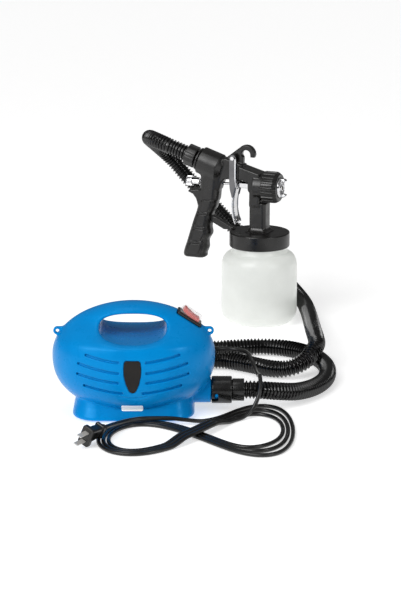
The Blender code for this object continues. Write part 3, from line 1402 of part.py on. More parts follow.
    # Trigger: two side arms, a finger blade and a fork round the needle
    pu, pz = PIVOT
    arm_in = WEB_HALF + RUN
    arm_out = arm_in + TRIGGER_PLATE
    arm_shape = arc((0, 0), 5.6 * MM, -10, 190, 5) + [
        (-5.4 * u, -30 * MM), (-4.5 * u, -46 * MM), (-1 * u, -60 * MM)
    ]
    arm_shape += [(2.5 * u, -58 * MM), (5.6 * u, -46 * MM), (5.4 * u, -28 * MM)]
    front_line = [(5.4, -37), (4.6, -46), (1.6, -58), (0.2, -68), (0.6, -80), (2.4, -90), (6.0, -99)]
    back_line = [(3.8, -100.2), (0.2, -91), (-1.7, -80), (-2.1, -68), (-0.7, -58), (2.2, -46), (3.0, -37)]
    blade = [(a * MM, b * MM) for a, b in front_line + back_line]
    trigger = piece("trigger", prism(blade, -arm_out, arm_out), "chrome", gun, (pu, 0, pz))
    for label, low, high in (("near", -arm_out, -arm_in), ("far", arm_in, arm_out)):
        arm = tool(f"{label}_arm_form", prism(arm_shape, low, high), gun, (pu, 0, pz))
        carve(trigger, arm, "UNION")
    fork = block(-20 * MM, 20 * MM, -3.4 * MM, 3.4 * MM, -48 * MM, -30 * MM)
    carve(trigger, tool("fork_form", fork, gun, (pu, 0, pz)))
    carve(
        trigger,
        tool(
            "trigger_eye_form",
            prism(arc((0, 0), 2.0 * MM + RUN, 0, 315, 7), -0.03, 0.03),
            gun,
            (pu, 0, pz),
        ),
    )
    head = arm_out + RUN
    pin = [
        (0, -head - 1.6 * MM),
        (3.0 * MM, -head - 1.6 * MM),
        (3.6 * MM, -head - 0.8 * MM),
        (3.6 * MM, -head),
        (2.0 * MM, -head),
    ]
    pin += [
        (2.0 * MM, head),
        (3.6 * MM, head),
        (3.6 * MM, head + 0.8 * MM),
        (3.0 * MM, head + 1.6 * MM),
        (0, head + 1.6 * MM),
    ]
    piece("trigger_pin", lathe(pin, 8), "chrome", gun, (pu, 0, pz), (-math.pi / 2, 0, 0))

    # Needle with its collar behind the fork, packing, spring and knob
    collar_u = pu + 2.2 * MM - 1.2 * MM
    rod = 2.0 * MM
    rear_u = -84 * MM
    needle = [
        (0, rear_u),
        (rod, rear_u),
        (rod, rear_u + 10 * MM),
        (rod, collar_u - 6 * MM),
        (4.6 * MM, collar_u - 6 * MM),
        (4.6 * MM, collar_u),
    ]
    needle += [(rod, collar_u), (rod, 12 * MM), (1.1 * MM, 20 * MM), (0.5 * MM, 31 * MM), (0, 31 * MM)]
    piece("needle", lathe(needle, 10), "chrome", needle_line)
    nut_low = -32 * MM
    nut = arc((0, 0), 5.6 * MM, 0, 300, 5)
    packing_nut = piece("packing_nut", slab(nut, nut_low, -15.6 * MM), "chrome", needle_line, crease=20.0)
    nut_bore = lathe([(0, nut_low - 0.01), (rod + RUN, nut_low - 0.01), (rod + RUN, 0), (0, 0)], 10)
    carve(packing_nut, tool("packing_nut_bore_form", nut_bore, needle_line))
    seal = [
        (rod + 0.2 * MM, -14.9 * MM),
        (4.1 * MM, -14.9 * MM),
        (4.1 * MM, -10.3 * MM),
        (rod + 0.2 * MM, -10.3 * MM),
    ]
    piece("needle_packing", lathe(seal, 10), "white", needle_line)
    wire = 0.45 * MM
    spring_low = rear_u - 12 * MM
    spring_high = rear_u - SEAT - wire
    helix = []
    for k in range(SPRING_COILS * 8 + 1):
        t = math.tau * k / 8
        h = spring_low + (spring_high - spring_low) * k / (SPRING_COILS * 8)
        helix.append(Vector((3.2 * MM * math.cos(t), 3.2 * MM * math.sin(t), h)))
    cord_tube("needle_spring", helix, wire, "steel", needle_line, 0)
    knob_rear = -116 * MM
    knob_front = -106.5 * MM
    knob = []
    for k in range(24):
        t = math.tau * k / 24
        radius = KNOB_RADIUS - (0.5 * MM if k % 2 else 0.0)
        knob.append((radius * math.cos(t), radius * math.sin(t)))
    flow_knob = piece("flow_knob", slab(knob, knob_rear, knob_front), "steel", needle_line, crease=20.0)
    stalk_end = spring_low - wire - SEAT
    stalk = lathe(
        [
            (0, knob_front - 3 * MM),
            (3.8 * MM, knob_front - 3 * MM),
            (3.8 * MM, stalk_end),
            (0, stalk_end),
        ],
        16,
    )
    carve(flow_knob, tool("knob_stalk_form", stalk, needle_line), "UNION")

    # Nozzle, air cap and retaining ring
    nozzle = [
        (rod + RUN, 1.3 * MM),
        (8 * MM, 1.3 * MM),
        (8 * MM, 14 * MM),
        (11 * MM, 14 * MM),
        (11 * MM, 17 * MM),
        (6.5 * MM, 20 * MM),
    ]
    nozzle += [(2.6 * MM, 33 * MM), (1.2 * MM, 33 * MM), (1.5 * MM, 22 * MM), (rod + RUN, 13 * MM)]
    piece("fluid_nozzle", lathe(nozzle, 12), "brass", needle_line)
    ring_end = RING_START + RING_LENGTH
    cap_in = ring_in - RUN
    cap_low = ring_end - 8.5 * MM
    lip_in = 15 * MM
    cap = [
        (2.6 * MM + 0.5 * MM, 35.5 * MM),
        (10 * MM, 35.5 * MM),
        (lip_in - RUN, 33 * MM),
        (lip_in - RUN, ring_end - 2.5 * MM - RUN),
    ]
    cap += [
        (cap_in, ring_end - 2.5 * MM - RUN),
        (cap_in, cap_low),
        (9 * MM, cap_low),
        (7 * MM, 29 * MM),
        (3.1 * MM, 32 * MM),
    ]
    air_cap = piece("air_cap", lathe(cap, 16), "chrome", needle_line)
    horn_bm = bmesh.new()
    for sign in (-1, 1):
        side = [(8.5, 33.5), (14.2, 33.0), (13.6, 40.0), (11.5, 43.5), (9.4, 43.5), (8.0, 38.0)]
        rings = []
        for across, small in ((-4.0, 0.8), (-2.6, 0.0), (2.6, 0.0), (4.0, 0.8)):
            ring = []
            for a, h in side:
                out = a - (small if a > 11 else -small)
                top = h - (small if h > 40 else 0)
                ring.append((sign * out * MM, across * MM, top * MM))
            rings.append(ring)
        loft(rings, horn_bm)
    carve(air_cap, tool("horn_form", horn_bm, needle_line), "UNION")
    rim = []
    for k in range(2 * RING_RIBS):
        t = math.tau * k / (2 * RING_RIBS)
        radius = RING_RADIUS - (0.9 * MM if k % 2 else 0.0)
        rim.append((radius * math.cos(t), radius * math.sin(t)))
    ring_rings = []
    for h, share in (
        (RING_START, 0.96), (RING_START + 1.5 * MM, 1.0), (ring_end - 6 * MM, 1.0), (ring_end, 0.84)
    ):
        ring_rings.append([(share * a, share * b, h) for a, b in rim])
    ring = piece("retaining_ring", loft(ring_rings), "black", needle_line, crease=20.0)
    lip_start = ring_end - 2.5 * MM
    room = [
        (0, RING_START - 0.01),
        (ring_in, RING_START - 0.01),
        (ring_in, lip_start),
        (lip_in, lip_start),
        (lip_in, ring_end + 0.01),
        (0, ring_end + 0.01),
    ]
    carve(ring, tool("ring_room_form", lathe(room, 24), needle_line))

    # Lock nut round the knob stalk and the hose coupling nut
    lock = [(4.2 * MM, -106 * MM), (6.2 * MM, -106 * MM), (6.2 * MM, -96.0 * MM), (4.2 * MM, -96.0 * MM)]
    piece("knob_lock_nut", lathe(lock, 12), "steel", needle_line, crease=20.0)
    lock_room = lathe([(0, -99 * MM), (6.6 * MM, -99 * MM), (6.6 * MM, -95.6 * MM), (0, -95.6 * MM)], 12)
    cut.append(tool("lock_room_form", lock_room, needle_line))
    carve(body, joined, "UNION")
    carve(body, cut)
    nut_ribs = []
    for k in range(28):
        t = math.tau * (k + (0.25 if k % 2 else 0.0)) / 28
        radius = NUT_RADIUS - (1.0 * MM if k % 4 > 1 else 0.0)
        nut_ribs.append((radius * math.cos(t), radius * math.sin(t)))
    nut_start = 1.3 * MM
    nut_end = nut_start + NUT_LENGTH
    nut_rings = []
    for h, share in (
        (nut_start, 0.95), (nut_start + 1 * MM, 1.0), (nut_end - 1 * MM, 1.0), (nut_end, 0.93)
    ):
        nut_rings.append([(share * a, share * b, h) for a, b in nut_ribs])
    nut_piece = piece("inlet_nut", loft(nut_rings), "black", inlet, crease=20.0)
    step = nut_start + 3.7 * MM
    nut_room = [
        (0, nut_start - 0.01),
        (SPIGOT_RADIUS + RUN, nut_start - 0.01),
        (SPIGOT_RADIUS + RUN, step),
        (HOSE_RADIUS + RUN, step),
    ]
    nut_room += [(HOSE_RADIUS + RUN, nut_end + 0.01), (0, nut_end + 0.01)]
    carve(nut_piece, tool("nut_room_form", lathe(nut_room, 16), inlet))

    # Where the hose ends inside the coupling nut, in the frame of the whole set
    end_at = step + RUN
    out_u = -math.cos(INLET_TILT)
    out_z = math.sin(INLET_TILT)
    end_u = INLET_U + out_u * end_at
    end_z = INLET_Z + out_z * end_at
    cos_t, sin_t = math.cos(GUN_TURN), math.sin(GUN_TURN)
    gun_end = Vector((GUN_PLACE[0] + cos_t * end_u, GUN_PLACE[1] + sin_t * end_u, end_z))
    gun_way = Vector((-cos_t * out_u, -sin_t * out_u, -out_z))
    return gun_end, gun_way


for old in list(bpy.data.objects):
    bpy.data.objects.remove(old, do_unlink=True)

set_root = empty("set_root", None, -SET_CENTRE)
hose_from, sleeve_to = build_base(set_root)
hose_to, hose_way = build_gun(set_root)
build_hose(set_root, hose_from, sleeve_to, hose_to, hose_way)
gland_direction = Vector((math.sin(GLAND_TURN), math.cos(GLAND_TURN), 0.0))
gland_surface = Vector((GLAND_X, body_depth(GLAND_X, GLAND_Z), GLAND_Z))
build_lead(set_root, gland_surface + gland_direction * GLAND_LENGTH, gland_direction)
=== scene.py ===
"""Looks of the turbine paint sprayer set: smooth mouldings, ribbed hose, hanked lead, finishes, light and camera."""

import json
import math

import bpy
import numpy as np
from mathutils import Euler, Matrix, Vector


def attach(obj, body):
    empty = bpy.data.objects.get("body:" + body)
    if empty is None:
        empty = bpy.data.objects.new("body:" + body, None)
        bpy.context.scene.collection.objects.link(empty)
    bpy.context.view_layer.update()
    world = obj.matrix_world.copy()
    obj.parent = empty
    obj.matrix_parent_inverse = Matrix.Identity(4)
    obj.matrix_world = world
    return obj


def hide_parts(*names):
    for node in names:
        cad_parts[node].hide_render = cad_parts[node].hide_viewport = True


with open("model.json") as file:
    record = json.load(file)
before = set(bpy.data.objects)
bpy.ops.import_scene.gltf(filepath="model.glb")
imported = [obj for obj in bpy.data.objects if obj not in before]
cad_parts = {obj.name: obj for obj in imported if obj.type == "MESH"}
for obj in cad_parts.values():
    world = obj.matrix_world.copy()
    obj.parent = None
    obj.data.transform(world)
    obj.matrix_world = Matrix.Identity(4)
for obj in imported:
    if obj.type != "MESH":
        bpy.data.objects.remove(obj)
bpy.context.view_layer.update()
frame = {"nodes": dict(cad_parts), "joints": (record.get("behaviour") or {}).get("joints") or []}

MM = 0.001
UP = Vector((0.0, 0.0, 1.0))
DOWN = -UP

# Shapes are in millimetres in the frame of their own piece, apart from lengths times MM, which are in metres.
# Most sizes repeat the solid model's. The flare, the belly and the hose's ribs follow the photograph.
FIT = 0.3

# Base body
HALF_WIDTH, HALF_DEPTH, HALF_HEIGHT = 106.3, 70.0, 71.0
CENTRE_Z = 79.7
SLIM_LOW_Z, SLIM_HIGH_Z = 100.29, 132.24
HANDLE_SLIM = 0.6
TUNNEL_HALF_WIDTH, TUNNEL_HALF_HEIGHT, TUNNEL_Z = 43.7, 15.76, 121.73
TUNNEL_POWER = 2.0 / 0.85
PEDESTAL_HALF_WIDTH, PEDESTAL_HALF_DEPTH, PEDESTAL_CORNER = 78.56, 48.5, 33.96
PEDESTAL_LOW_Z, PEDESTAL_TOP_Z = 2.0, 46.0
PEDESTAL_FRONT = 54.0
FLARE_Z = (4.0, 10.0, 18.0, 28.0, 46.0)
FLARE_SIDE = (0.0, 1.2, 3.0, 4.8, 6.2)
FLARE_FRONT = (0.0, 3.0, 7.5, 11.5, 14.0)
BELLY_SIDE, BELLY_FRONT = 2.4, 2.9
GROOVE_HALF, GROOVE_DEPTH = 1.65, 3.0
INLAY_DEPTH = 1.2
INTAKE_X, INTAKE_DROP, INTAKE_PITCH, INTAKE_COUNT = -20.0, 12.0, 9.0, 4
INTAKE_HALF_LENGTH, INTAKE_HALF_WIDTH, INTAKE_DEPTH = 26.0, 1.8, 9.0
HIGH_POST_X, HIGH_POST_Z, LOW_POST_X, LOW_POST_Z = 84.0, 62.0, 53.15, 13.0
POST_SINK, WELL_RADIUS = 6.0, 3.6
LABEL_LEFT, LABEL_RIGHT, LABEL_LOW, LABEL_HIGH = -15.0, 13.2, 15.4, 25.0
LUG_X, LUG_Z, LUG_RADIUS, LUG_HOLE, LUG_HALF = 99.2, 110.6, 5.5, 2.4, 2.5
BOSS_RADIUS, BOSS_MIDDLE, BOSS_END = 16.8, 75.0, 100.9
OUTLET_Z = 30.0
GLAND_X, GLAND_Z, GLAND_LENGTH = 45.0, 70.0, 26.0
GLAND_TURN = math.radians(17.5)
FOOT_X, FOOT_Y, FOOT_RADIUS, FOOT_HEIGHT = 58.1, 32.0, 7.0, 3.2

# Hose, lead and plug
HOSE_RADIUS, HOSE_VALLEY, HOSE_BORE = 12.0, 9.5, 8.6
HOSE_SIDES = 24
HOSE_START, SLEEVE_END = 130.3, 144.5
RIB_PITCH = 4.9
STEPS_PER_RIB = 8
RIB_LEVEL, RIB_SWING = 0.42, 0.7
CORD_RADIUS = 2.75 * MM
HANK_LOOPS = 3
HANK_LOOP_STEPS = 198
HANK_PITCH = 2.0 * CORD_RADIUS + 1.0 * MM
HANK_START = math.radians(65.0)
HANK_CENTRE = (81.5 * MM, -106.0 * MM)
HANK_HALF_LENGTH, HANK_HALF_WIDTH = 115.5 * MM, 77.0 * MM
HANK_SKEW, HANK_LEAN, HANK_FAN = 27.0 * MM, 21.0 * MM, 0.5
PLUG_REAR = Vector((-34.0, -119.0, 15.6)) * MM
PLUG_TURN, PLUG_ROLL = math.radians(238.4), math.radians(65.0)
PLUG_LENGTH = 43.0

# Gun
NEEDLE_Z = 207.8
LID_LOW_Z, LID_TOP_Z, LID_RADIUS = 117.5, 139.5, 45.0
NECK_RADIUS = 41.6
CUP_RADIUS, CUP_CORNER, CUP_SHOULDER_Z, CUP_WALL = 56.5, 20.0, 89.0, 2.0
STEM_HALF = 13.0

# Frames of the pieces
joints = {joint["name"]: joint for joint in frame["joints"]}


def joint_spot(name):
    return Vector(joints[name]["pos_m"])


def joint_axis(name):
    return Vector(joints[name]["axis"])


def local(origin, x_way, z_way):
    """Frame in millimetres at a world spot, from its Z direction and a rough X direction."""
    z = Vector(z_way).normalized()
    y = z.cross(Vector(x_way)).normalized()
    turn = Matrix((y.cross(z), y, z)).transposed().to_4x4()
    return Matrix.Translation(origin) @ turn @ Matrix.Scale(MM, 4)


BASE = Vector((joint_spot("rotor_spin").x, joint_spot("rotor_spin").y, 0.0))
AHEAD = joint_axis("knob_turn")
SWITCH_TILT = math.radians(33.0)
SWITCH_OUT = Vector((math.sin(SWITCH_TILT), 0.0, math.cos(SWITCH_TILT)))
SWITCH_ALONG = Vector((math.cos(SWITCH_TILT), 0.0, -math.sin(SWITCH_TILT)))
ROCKER_HEIGHT = 6.5
ROCKER_REST = math.radians(9.0)
GLAND_WAY = Vector((math.sin(GLAND_TURN), math.cos(GLAND_TURN), 0.0))

BASE_FRAME = local(BASE, (1, 0, 0), UP)
SWITCH_FRAME = local(joint_spot("switch_rock") - SWITCH_OUT * ROCKER_HEIGHT * MM, SWITCH_ALONG, SWITCH_OUT)
OUTLET_FRAME = local(joint_spot("collar_turn"), DOWN, (1, 0, 0))
GUN_FRAME = local(joint_spot("cup_turn"), AHEAD, UP)
NEEDLE_FRAME = local(joint_spot("knob_turn"), DOWN, AHEAD)
INLET_FRAME = local(joint_spot("nut_turn"), UP, joint_axis("nut_turn"))
PIVOT_FRAME = local(joint_spot("trigger_pull"), AHEAD, UP)


# Finishes: every surface carries grain, uneven gloss and a slight change of tone
def ramp(nodes, links, source, low, high, start=0.35, end=0.65):
    made = nodes.new("ShaderNodeValToRGB")
    made.color_ramp.elements[0].position = start
    made.color_ramp.elements[1].position = end
    made.color_ramp.elements[0].color = (*low, 1.0)
    made.color_ramp.elements[1].color = (*high, 1.0)
    links.new(source, made.inputs["Fac"])
    return made.outputs["Color"]


def noise(nodes, links, scale, detail):
    where = nodes.new("ShaderNodeTexCoord")
    made = nodes.new("ShaderNodeTexNoise")
    made.inputs["Scale"].default_value = scale
    made.inputs["Detail"].default_value = detail
    links.new(where.outputs["Object"], made.inputs["Vector"])
    return made.outputs["Fac"]


PATCH_SCALE = 30.0


def finish(name, dark, light, rough, grain, bump, metal=0.0, **sockets):
    """Material with patchy tone and gloss, and with fine grain of a given scale and height in metres."""
    made = bpy.data.materials.new(name)
    made.use_nodes = True
    nodes, links = made.node_tree.nodes, made.node_tree.links
    shader = nodes["Principled BSDF"]
    shader.inputs["Metallic"].default_value = metal
    for socket, value in sockets.items():
        shader.inputs[socket.replace("_", " ")].default_value = value
    cloud = noise(nodes, links, PATCH_SCALE, 4.0)
    links.new(ramp(nodes, links, cloud, dark, light), shader.inputs["Base Color"])
    gloss = ramp(nodes, links, noise(nodes, links, 3.1 * PATCH_SCALE, 6.0), (rough[0],) * 3, (rough[1],) * 3)
    links.new(gloss, shader.inputs["Roughness"])
    relief = nodes.new("ShaderNodeBump")
    relief.inputs["Strength"].default_value = 0.5
    relief.inputs["Distance"].default_value = bump
    links.new(noise(nodes, links, grain, 2.0), relief.inputs["Height"])
    links.new(relief.outputs["Normal"], shader.inputs["Normal"])
    return made


BLUE = finish(
    "moulded_blue", (0.000, 0.205, 0.545), (0.000, 0.225, 0.585), (0.26, 0.34), 900, 4e-5,
    Specular_IOR_Level=0.35, Specular_Tint=(0.15, 0.6, 1.0, 1.0),
)
INLAY = finish(
    "dark_inlay", (0.010, 0.009, 0.008), (0.015, 0.013, 0.012), (0.42, 0.55), 1400, 5e-5,
    Specular_IOR_Level=0.2,
)
BLACK = finish(
    "moulded_black", (0.003, 0.0027, 0.0025), (0.006, 0.0054, 0.005), (0.26, 0.38), 1100, 8e-5,
    Specular_IOR_Level=0.5,
)
GLOSS = finish("gloss_black", (0.002, 0.002, 0.002), (0.004, 0.004, 0.004), (0.20, 0.30), 700, 4e-5)
HOSE = finish(
    "hose_black", (0.0015, 0.0015, 0.0015), (0.003, 0.003, 0.003), (0.13, 0.20), 900, 1e-5,
    Specular_IOR_Level=0.5,
)
RUBBER = finish("soft_black", (0.004, 0.004, 0.004), (0.008, 0.008, 0.008), (0.28, 0.40), 1500, 3e-5)
RED = finish("rocker_red", (0.58, 0.022, 0.006), (0.66, 0.030, 0.010), (0.22, 0.34), 900, 3e-5, Specular_IOR_Level=0.3)
CLEAR = finish(
    "clear_boot", (0.78, 0.74, 0.74), (0.84, 0.80, 0.80), (0.06, 0.14), 600, 5e-5,
    Alpha=0.11, IOR=1.45,
)
# The cup glows as painted light: its emission brightens it evenly and flattens its shading, though the cup is no lamp.
CUP_WHITE = finish(
    "milky_white_painted_glow", (0.47, 0.48, 0.46), (0.51, 0.52, 0.50), (0.30, 0.42), 700, 5e-5,
    Subsurface_Weight=0.5, Subsurface_Scale=0.012, Subsurface_Radius=(1.0, 1.0, 1.0),
    Emission_Color=(0.97, 1.0, 0.96, 1.0), Emission_Strength=0.25,
)
WHITE = finish("plain_white", (0.76, 0.76, 0.74), (0.82, 0.82, 0.80), (0.35, 0.5), 900, 4e-5)
# The label glows as painted light: its emission keeps the downward-facing label white, though it is no lamp.
LABEL = finish(
    "blank_label_painted_glow", (0.88, 0.88, 0.88), (0.92, 0.92, 0.92), (0.30, 0.42), 2500, 1e-5,
    Emission_Color=(1.0, 1.0, 1.0, 1.0), Emission_Strength=0.2,
)
STEEL = finish("brushed_steel", (0.42, 0.42, 0.43), (0.56, 0.56, 0.57), (0.24, 0.40), 2200, 3e-5, 1.0)
CHROME = finish("chrome", (0.56, 0.56, 0.57), (0.70, 0.70, 0.71), (0.06, 0.14), 600, 2e-5, 1.0)
NICKEL = finish("dull_nickel", (0.52, 0.51, 0.49), (0.62, 0.61, 0.59), (0.30, 0.45), 2200, 3e-5, 0.4)
# Chrome darkened as painted shade, for the trigger plate between its plain chrome edges.
PAINTED_SHADE_CHROME = finish("painted_shade_chrome", (0.10, 0.10, 0.105), (0.17, 0.17, 0.175), (0.12, 0.24), 900, 2e-5, 1.0)
BRASS = finish("brass", (0.62, 0.43, 0.16), (0.74, 0.54, 0.22), (0.22, 0.36), 1800, 3e-5, 1.0)
COPPER = finish("wound_copper", (0.48, 0.20, 0.08), (0.62, 0.29, 0.12), (0.28, 0.45), 2600, 2e-4, 1.0)
FOAM = finish("filter_foam", (0.03, 0.03, 0.035), (0.09, 0.09, 0.10), (0.85, 0.98), 1300, 8e-4)


# Pieces
def settle(made, material, body, *replaced):
    made.data.materials.append(material)
    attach(made, body)
    if replaced:
        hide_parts(*replaced)
    return made


def piece(name, verts, faces, place, material, body, *replaced, crease=40.0):
    """Mesh from local points in millimetres, written into the world frame."""
    mesh = bpy.data.meshes.new(name)
    mesh.from_pydata(verts, [], faces)
    mesh.transform(place)
    mesh.validate()
    mesh.shade_smooth()
    mesh.set_sharp_from_angle(angle=math.radians(crease))
    made = bpy.data.objects.new(name, mesh)
    bpy.context.scene.collection.objects.link(made)
    return settle(made, material, body, *replaced)


def eased(outline, radius, parts=3):
    """Rounds the corners of a closed plane outline."""
    soft = []
    count = len(outline)
    for i, corner in enumerate(outline):
        here = Vector(corner)
        before, after = Vector(outline[i - 1]) - here, Vector(outline[(i + 1) % count]) - here
        start = here + before.normalized() * min(radius, 0.45 * before.length)
        end = here + after.normalized() * min(radius, 0.45 * after.length)
        for k in range(parts + 1):
            t = k / parts
            soft.append(tuple(start * (1 - t) ** 2 + here * 2 * t * (1 - t) + end * t * t))
    return soft


def turned(outline, steps, wave=None):
    """Turns a closed outline of (radius, height) about Z. A wave may change the radius with the angle."""
    verts, rows, faces = [], [], []
    for radius, height in outline:
        if radius < 1e-6:
            rows.append([len(verts)] * steps)
            verts.append((0.0, 0.0, height))
            continue
        row = []
        for i in range(steps):
            angle = math.tau * i / steps
            reach = wave(radius, height, angle) if wave else radius
            row.append(len(verts))
            verts.append((reach * math.cos(angle), reach * math.sin(angle), height))
        rows.append(row)
    for low, high in zip(rows, rows[1:] + rows[:1]):
        for i in range(steps):
            j = (i + 1) % steps
            face = list(dict.fromkeys((low[i], low[j], high[j], high[i])))
            if len(face) > 2:
                faces.append(face)
    return verts, faces


# Fields: each takes coordinates in millimetres and is negative inside its form
def soft_min(a, b, reach):
    bite = np.maximum(reach - np.abs(a - b), 0.0) / reach
    return np.minimum(a, b) - bite * bite * reach / 4


def soft_max(a, b, reach):
    return -soft_min(-a, -b, reach)


def step(value, low, high):
    t = np.clip((value - low) / (high - low), 0.0, 1.0)
    return t * t * (3.0 - 2.0 * t)


def rectangle(x, y, half_x, half_y, corner):
    over_x, over_y = np.abs(x) - half_x + corner, np.abs(y) - half_y + corner
    outside = np.hypot(np.maximum(over_x, 0.0), np.maximum(over_y, 0.0))
    return outside + np.minimum(np.maximum(over_x, over_y), 0.0) - corner


def outlined(x, z, outline):
    """Distance in the plane to a closed outline."""
    best = np.full(x.shape, np.inf)
    sign = np.ones(x.shape)
    for (x0, z0), (x1, z1) in zip(outline, list(outline[1:]) + list(outline[:1])):
        along_x, along_z = x1 - x0, z1 - z0
        from_x, from_z = x - x0, z - z0
        share = np.clip((from_x * along_x + from_z * along_z) / (along_x**2 + along_z**2), 0.0, 1.0)
        best = np.minimum(best, (from_x - along_x * share) ** 2 + (from_z - along_z * share) ** 2)
        above, below, left = z >= z0, z < z1, along_x * from_z > along_z * from_x
        sign = np.where((above & below & left) | ~(above | below | left), -sign, sign)
    return sign * np.sqrt(best)


def plate(flat, across, half, corner):
    """Rounded form from a plane distance and a thickness across the plane."""
    flat, over = flat + corner, np.abs(across) - half + corner
    outside = np.hypot(np.maximum(flat, 0.0), np.maximum(over, 0.0))
    return outside + np.minimum(np.maximum(flat, over), 0.0) - corner


def spread(matrix, x, y, z):
    """Coordinates in another frame."""
    m = np.array(matrix)
    return [m[k, 0] * x + m[k, 1] * y + m[k, 2] * z + m[k, 3] for k in range(3)]


def net(field, low, high, cell, block=4):
    """Meshes the zero surface of a field with one point per crossed cell, and draws each point onto the surface."""
    cell = cell * 1.0
    low = np.array(low, float)
    blocks = np.ceil((np.array(high) - low) / (cell * block)).astype(int) + 1
    where = np.stack(np.meshgrid(*[np.arange(n) for n in blocks], indexing="ij"), -1).reshape(-1, 3)
    middle = low + (where * block + (block - 1) / 2) * cell
    rough = field(*middle.T)
    near = np.abs(rough) < 1.9 * block * cell
    values = np.empty((len(where), block**3))
    values[:] = np.where(rough < 0, -1.0, 1.0)[:, None] * block * cell
    inner = np.stack(np.meshgrid(*[np.arange(block)] * 3, indexing="ij"), -1).reshape(-1, 3)
    spots = low + (where[near][:, None, :] * block + inner[None]) * cell
    values[near] = field(*spots.reshape(-1, 3).T).reshape(-1, block**3)
    values = values.reshape(*blocks, block, block, block).transpose(0, 3, 1, 4, 2, 5).reshape(*(blocks * block))

    inside = values < 0
    size = np.array(values.shape) - 1
    corners = [(a, b, c) for a in (0, 1) for b in (0, 1) for c in (0, 1)]
    filled = sum(inside[a:a + size[0], b:b + size[1], c:c + size[2]].astype(np.int8) for a, b, c in corners)
    crossed = (filled > 0) & (filled < 8)
    cells = np.argwhere(crossed)
    total, count = np.zeros((len(cells), 3)), np.zeros(len(cells))
    for a in corners:
        for axis in range(3):
            if a[axis]:
                continue
            b = tuple(v + (k == axis) for k, v in enumerate(a))
            one = values[tuple((cells + a).T)]
            two = values[tuple((cells + b).T)]
            cut = (one < 0) != (two < 0)
            share = np.where(cut, one / np.where(cut, one - two, 1.0), 0.0)
            spot = np.array(a, float) + share[:, None] * np.eye(3)[axis]
            total += spot * cut[:, None]
            count += cut
    verts = low + (cells + total / count[:, None]) * cell
    number = np.full(crossed.shape, -1)
    number[crossed] = np.arange(len(cells))

    faces = []
    for axis in range(3):
        p, q = (axis + 1) % 3, (axis + 2) % 3
        one = [slice(None)] * 3
        two = [slice(None)] * 3
        one[axis], two[axis] = slice(None, -1), slice(1, None)
        edges = np.argwhere(inside[tuple(one)] != inside[tuple(two)])
        edges = edges[(edges[:, p] > 0) & (edges[:, q] > 0) & (edges[:, p] < size[p]) & (edges[:, q] < size[q])]
        ring = []
        for dp, dq in ((1, 1), (0, 1), (0, 0), (1, 0)):
            shift = np.zeros(3, int)
            shift[p], shift[q] = dp, dq
            ring.append(number[tuple((edges - shift).T)])
        ring = np.stack(ring, -1)
        outward = inside[tuple(edges.T)]
        faces.append(np.where(outward[:, None], ring, ring[:, ::-1]))
    faces = np.concatenate(faces)

    nudge = 0.04
    for _ in range(4):
        level = field(*verts.T)
        slope = np.empty_like(verts)
        for axis in range(3):
            shift = np.eye(3)[axis] * nudge
            slope[:, axis] = (field(*(verts + shift).T) - field(*(verts - shift).T)) / (2 * nudge)
        move = slope * (level / np.maximum((slope**2).sum(1), 0.05))[:, None]
        length = np.linalg.norm(move, axis=1, keepdims=True)
        verts = verts - move * np.minimum(1.0, 0.6 * cell / np.maximum(length, 1e-9))
    return verts.tolist(), faces.tolist()


# Camera at the photograph's place, and soft studio light. Lamps: name, place, width and power
CAMERA_SPOT, CAMERA_PITCH, CAMERA_LENS = (0.02445, -3.11885, 0.9009), math.radians(75.478), 138.0
LAMP_TARGET = (0.0, 0.0, 0.12)
LAMPS = (
    ("key", (-1.8, -1.5, 1.2), 0.7, 13.5),
    ("side", (1.8, -1.6, 1.1), 0.5, 13.0),
    ("top", (-0.3, -0.5, 1.9), 0.6, 3.5),
)
SKY_SPOT, SKY_POWER, SKY_ANGLE = (-1.4, -1.9, 1.7), 1.45, math.radians(35.0)
DOME_STRENGTH, FLOOR_GLOW, FLOOR_HALF = 0.32, 0.54, 20


def aim(made, target):
    made.rotation_euler = (Vector(target) - made.location).to_track_quat("-Z", "Y").to_euler()


camera = bpy.data.objects.new("camera", bpy.data.cameras.new("camera"))
bpy.context.scene.collection.objects.link(camera)
camera.location = CAMERA_SPOT
camera.rotation_euler = (CAMERA_PITCH, 0.0, 0.0)
camera.data.lens = CAMERA_LENS
camera.data.sensor_width = 36.0
bpy.context.scene.camera = camera
bpy.context.scene.view_settings.view_transform = "Standard"

for lamp_name, spot, size, power in LAMPS:
    lamp = bpy.data.objects.new(lamp_name, bpy.data.lights.new(lamp_name, "AREA"))
    bpy.context.scene.collection.objects.link(lamp)
    lamp.data.shape = "RECTANGLE"
    lamp.data.size, lamp.data.size_y = size, 1.5 * size
    lamp.data.energy = power
    lamp.location = spot
    aim(lamp, LAMP_TARGET)
sky = bpy.data.objects.new("sky", bpy.data.lights.new("sky", "SUN"))
bpy.context.scene.collection.objects.link(sky)
sky.data.energy = SKY_POWER
sky.data.angle = SKY_ANGLE
sky.location = SKY_SPOT
aim(sky, (0.0, 0.0, 0.0))

# Studio dome, bright overhead and dark toward the horizon
world = bpy.data.worlds.new("studio")
bpy.context.scene.world = world
world.use_nodes = True
dome_nodes, dome_links = world.node_tree.nodes, world.node_tree.links
dome_way = dome_nodes.new("ShaderNodeTexCoord")
dome_height = dome_nodes.new("ShaderNodeSeparateXYZ")
dome_links.new(dome_way.outputs["Generated"], dome_height.inputs["Vector"])
dome_tone = ramp(dome_nodes, dome_links, dome_height.outputs["Z"], (0.25, 0.25, 0.25), (1.0, 1.0, 1.0), 0.1, 0.9)
dome_links.new(dome_tone, dome_nodes["Background"].inputs["Color"])
dome_nodes["Background"].inputs["Strength"].default_value = DOME_STRENGTH

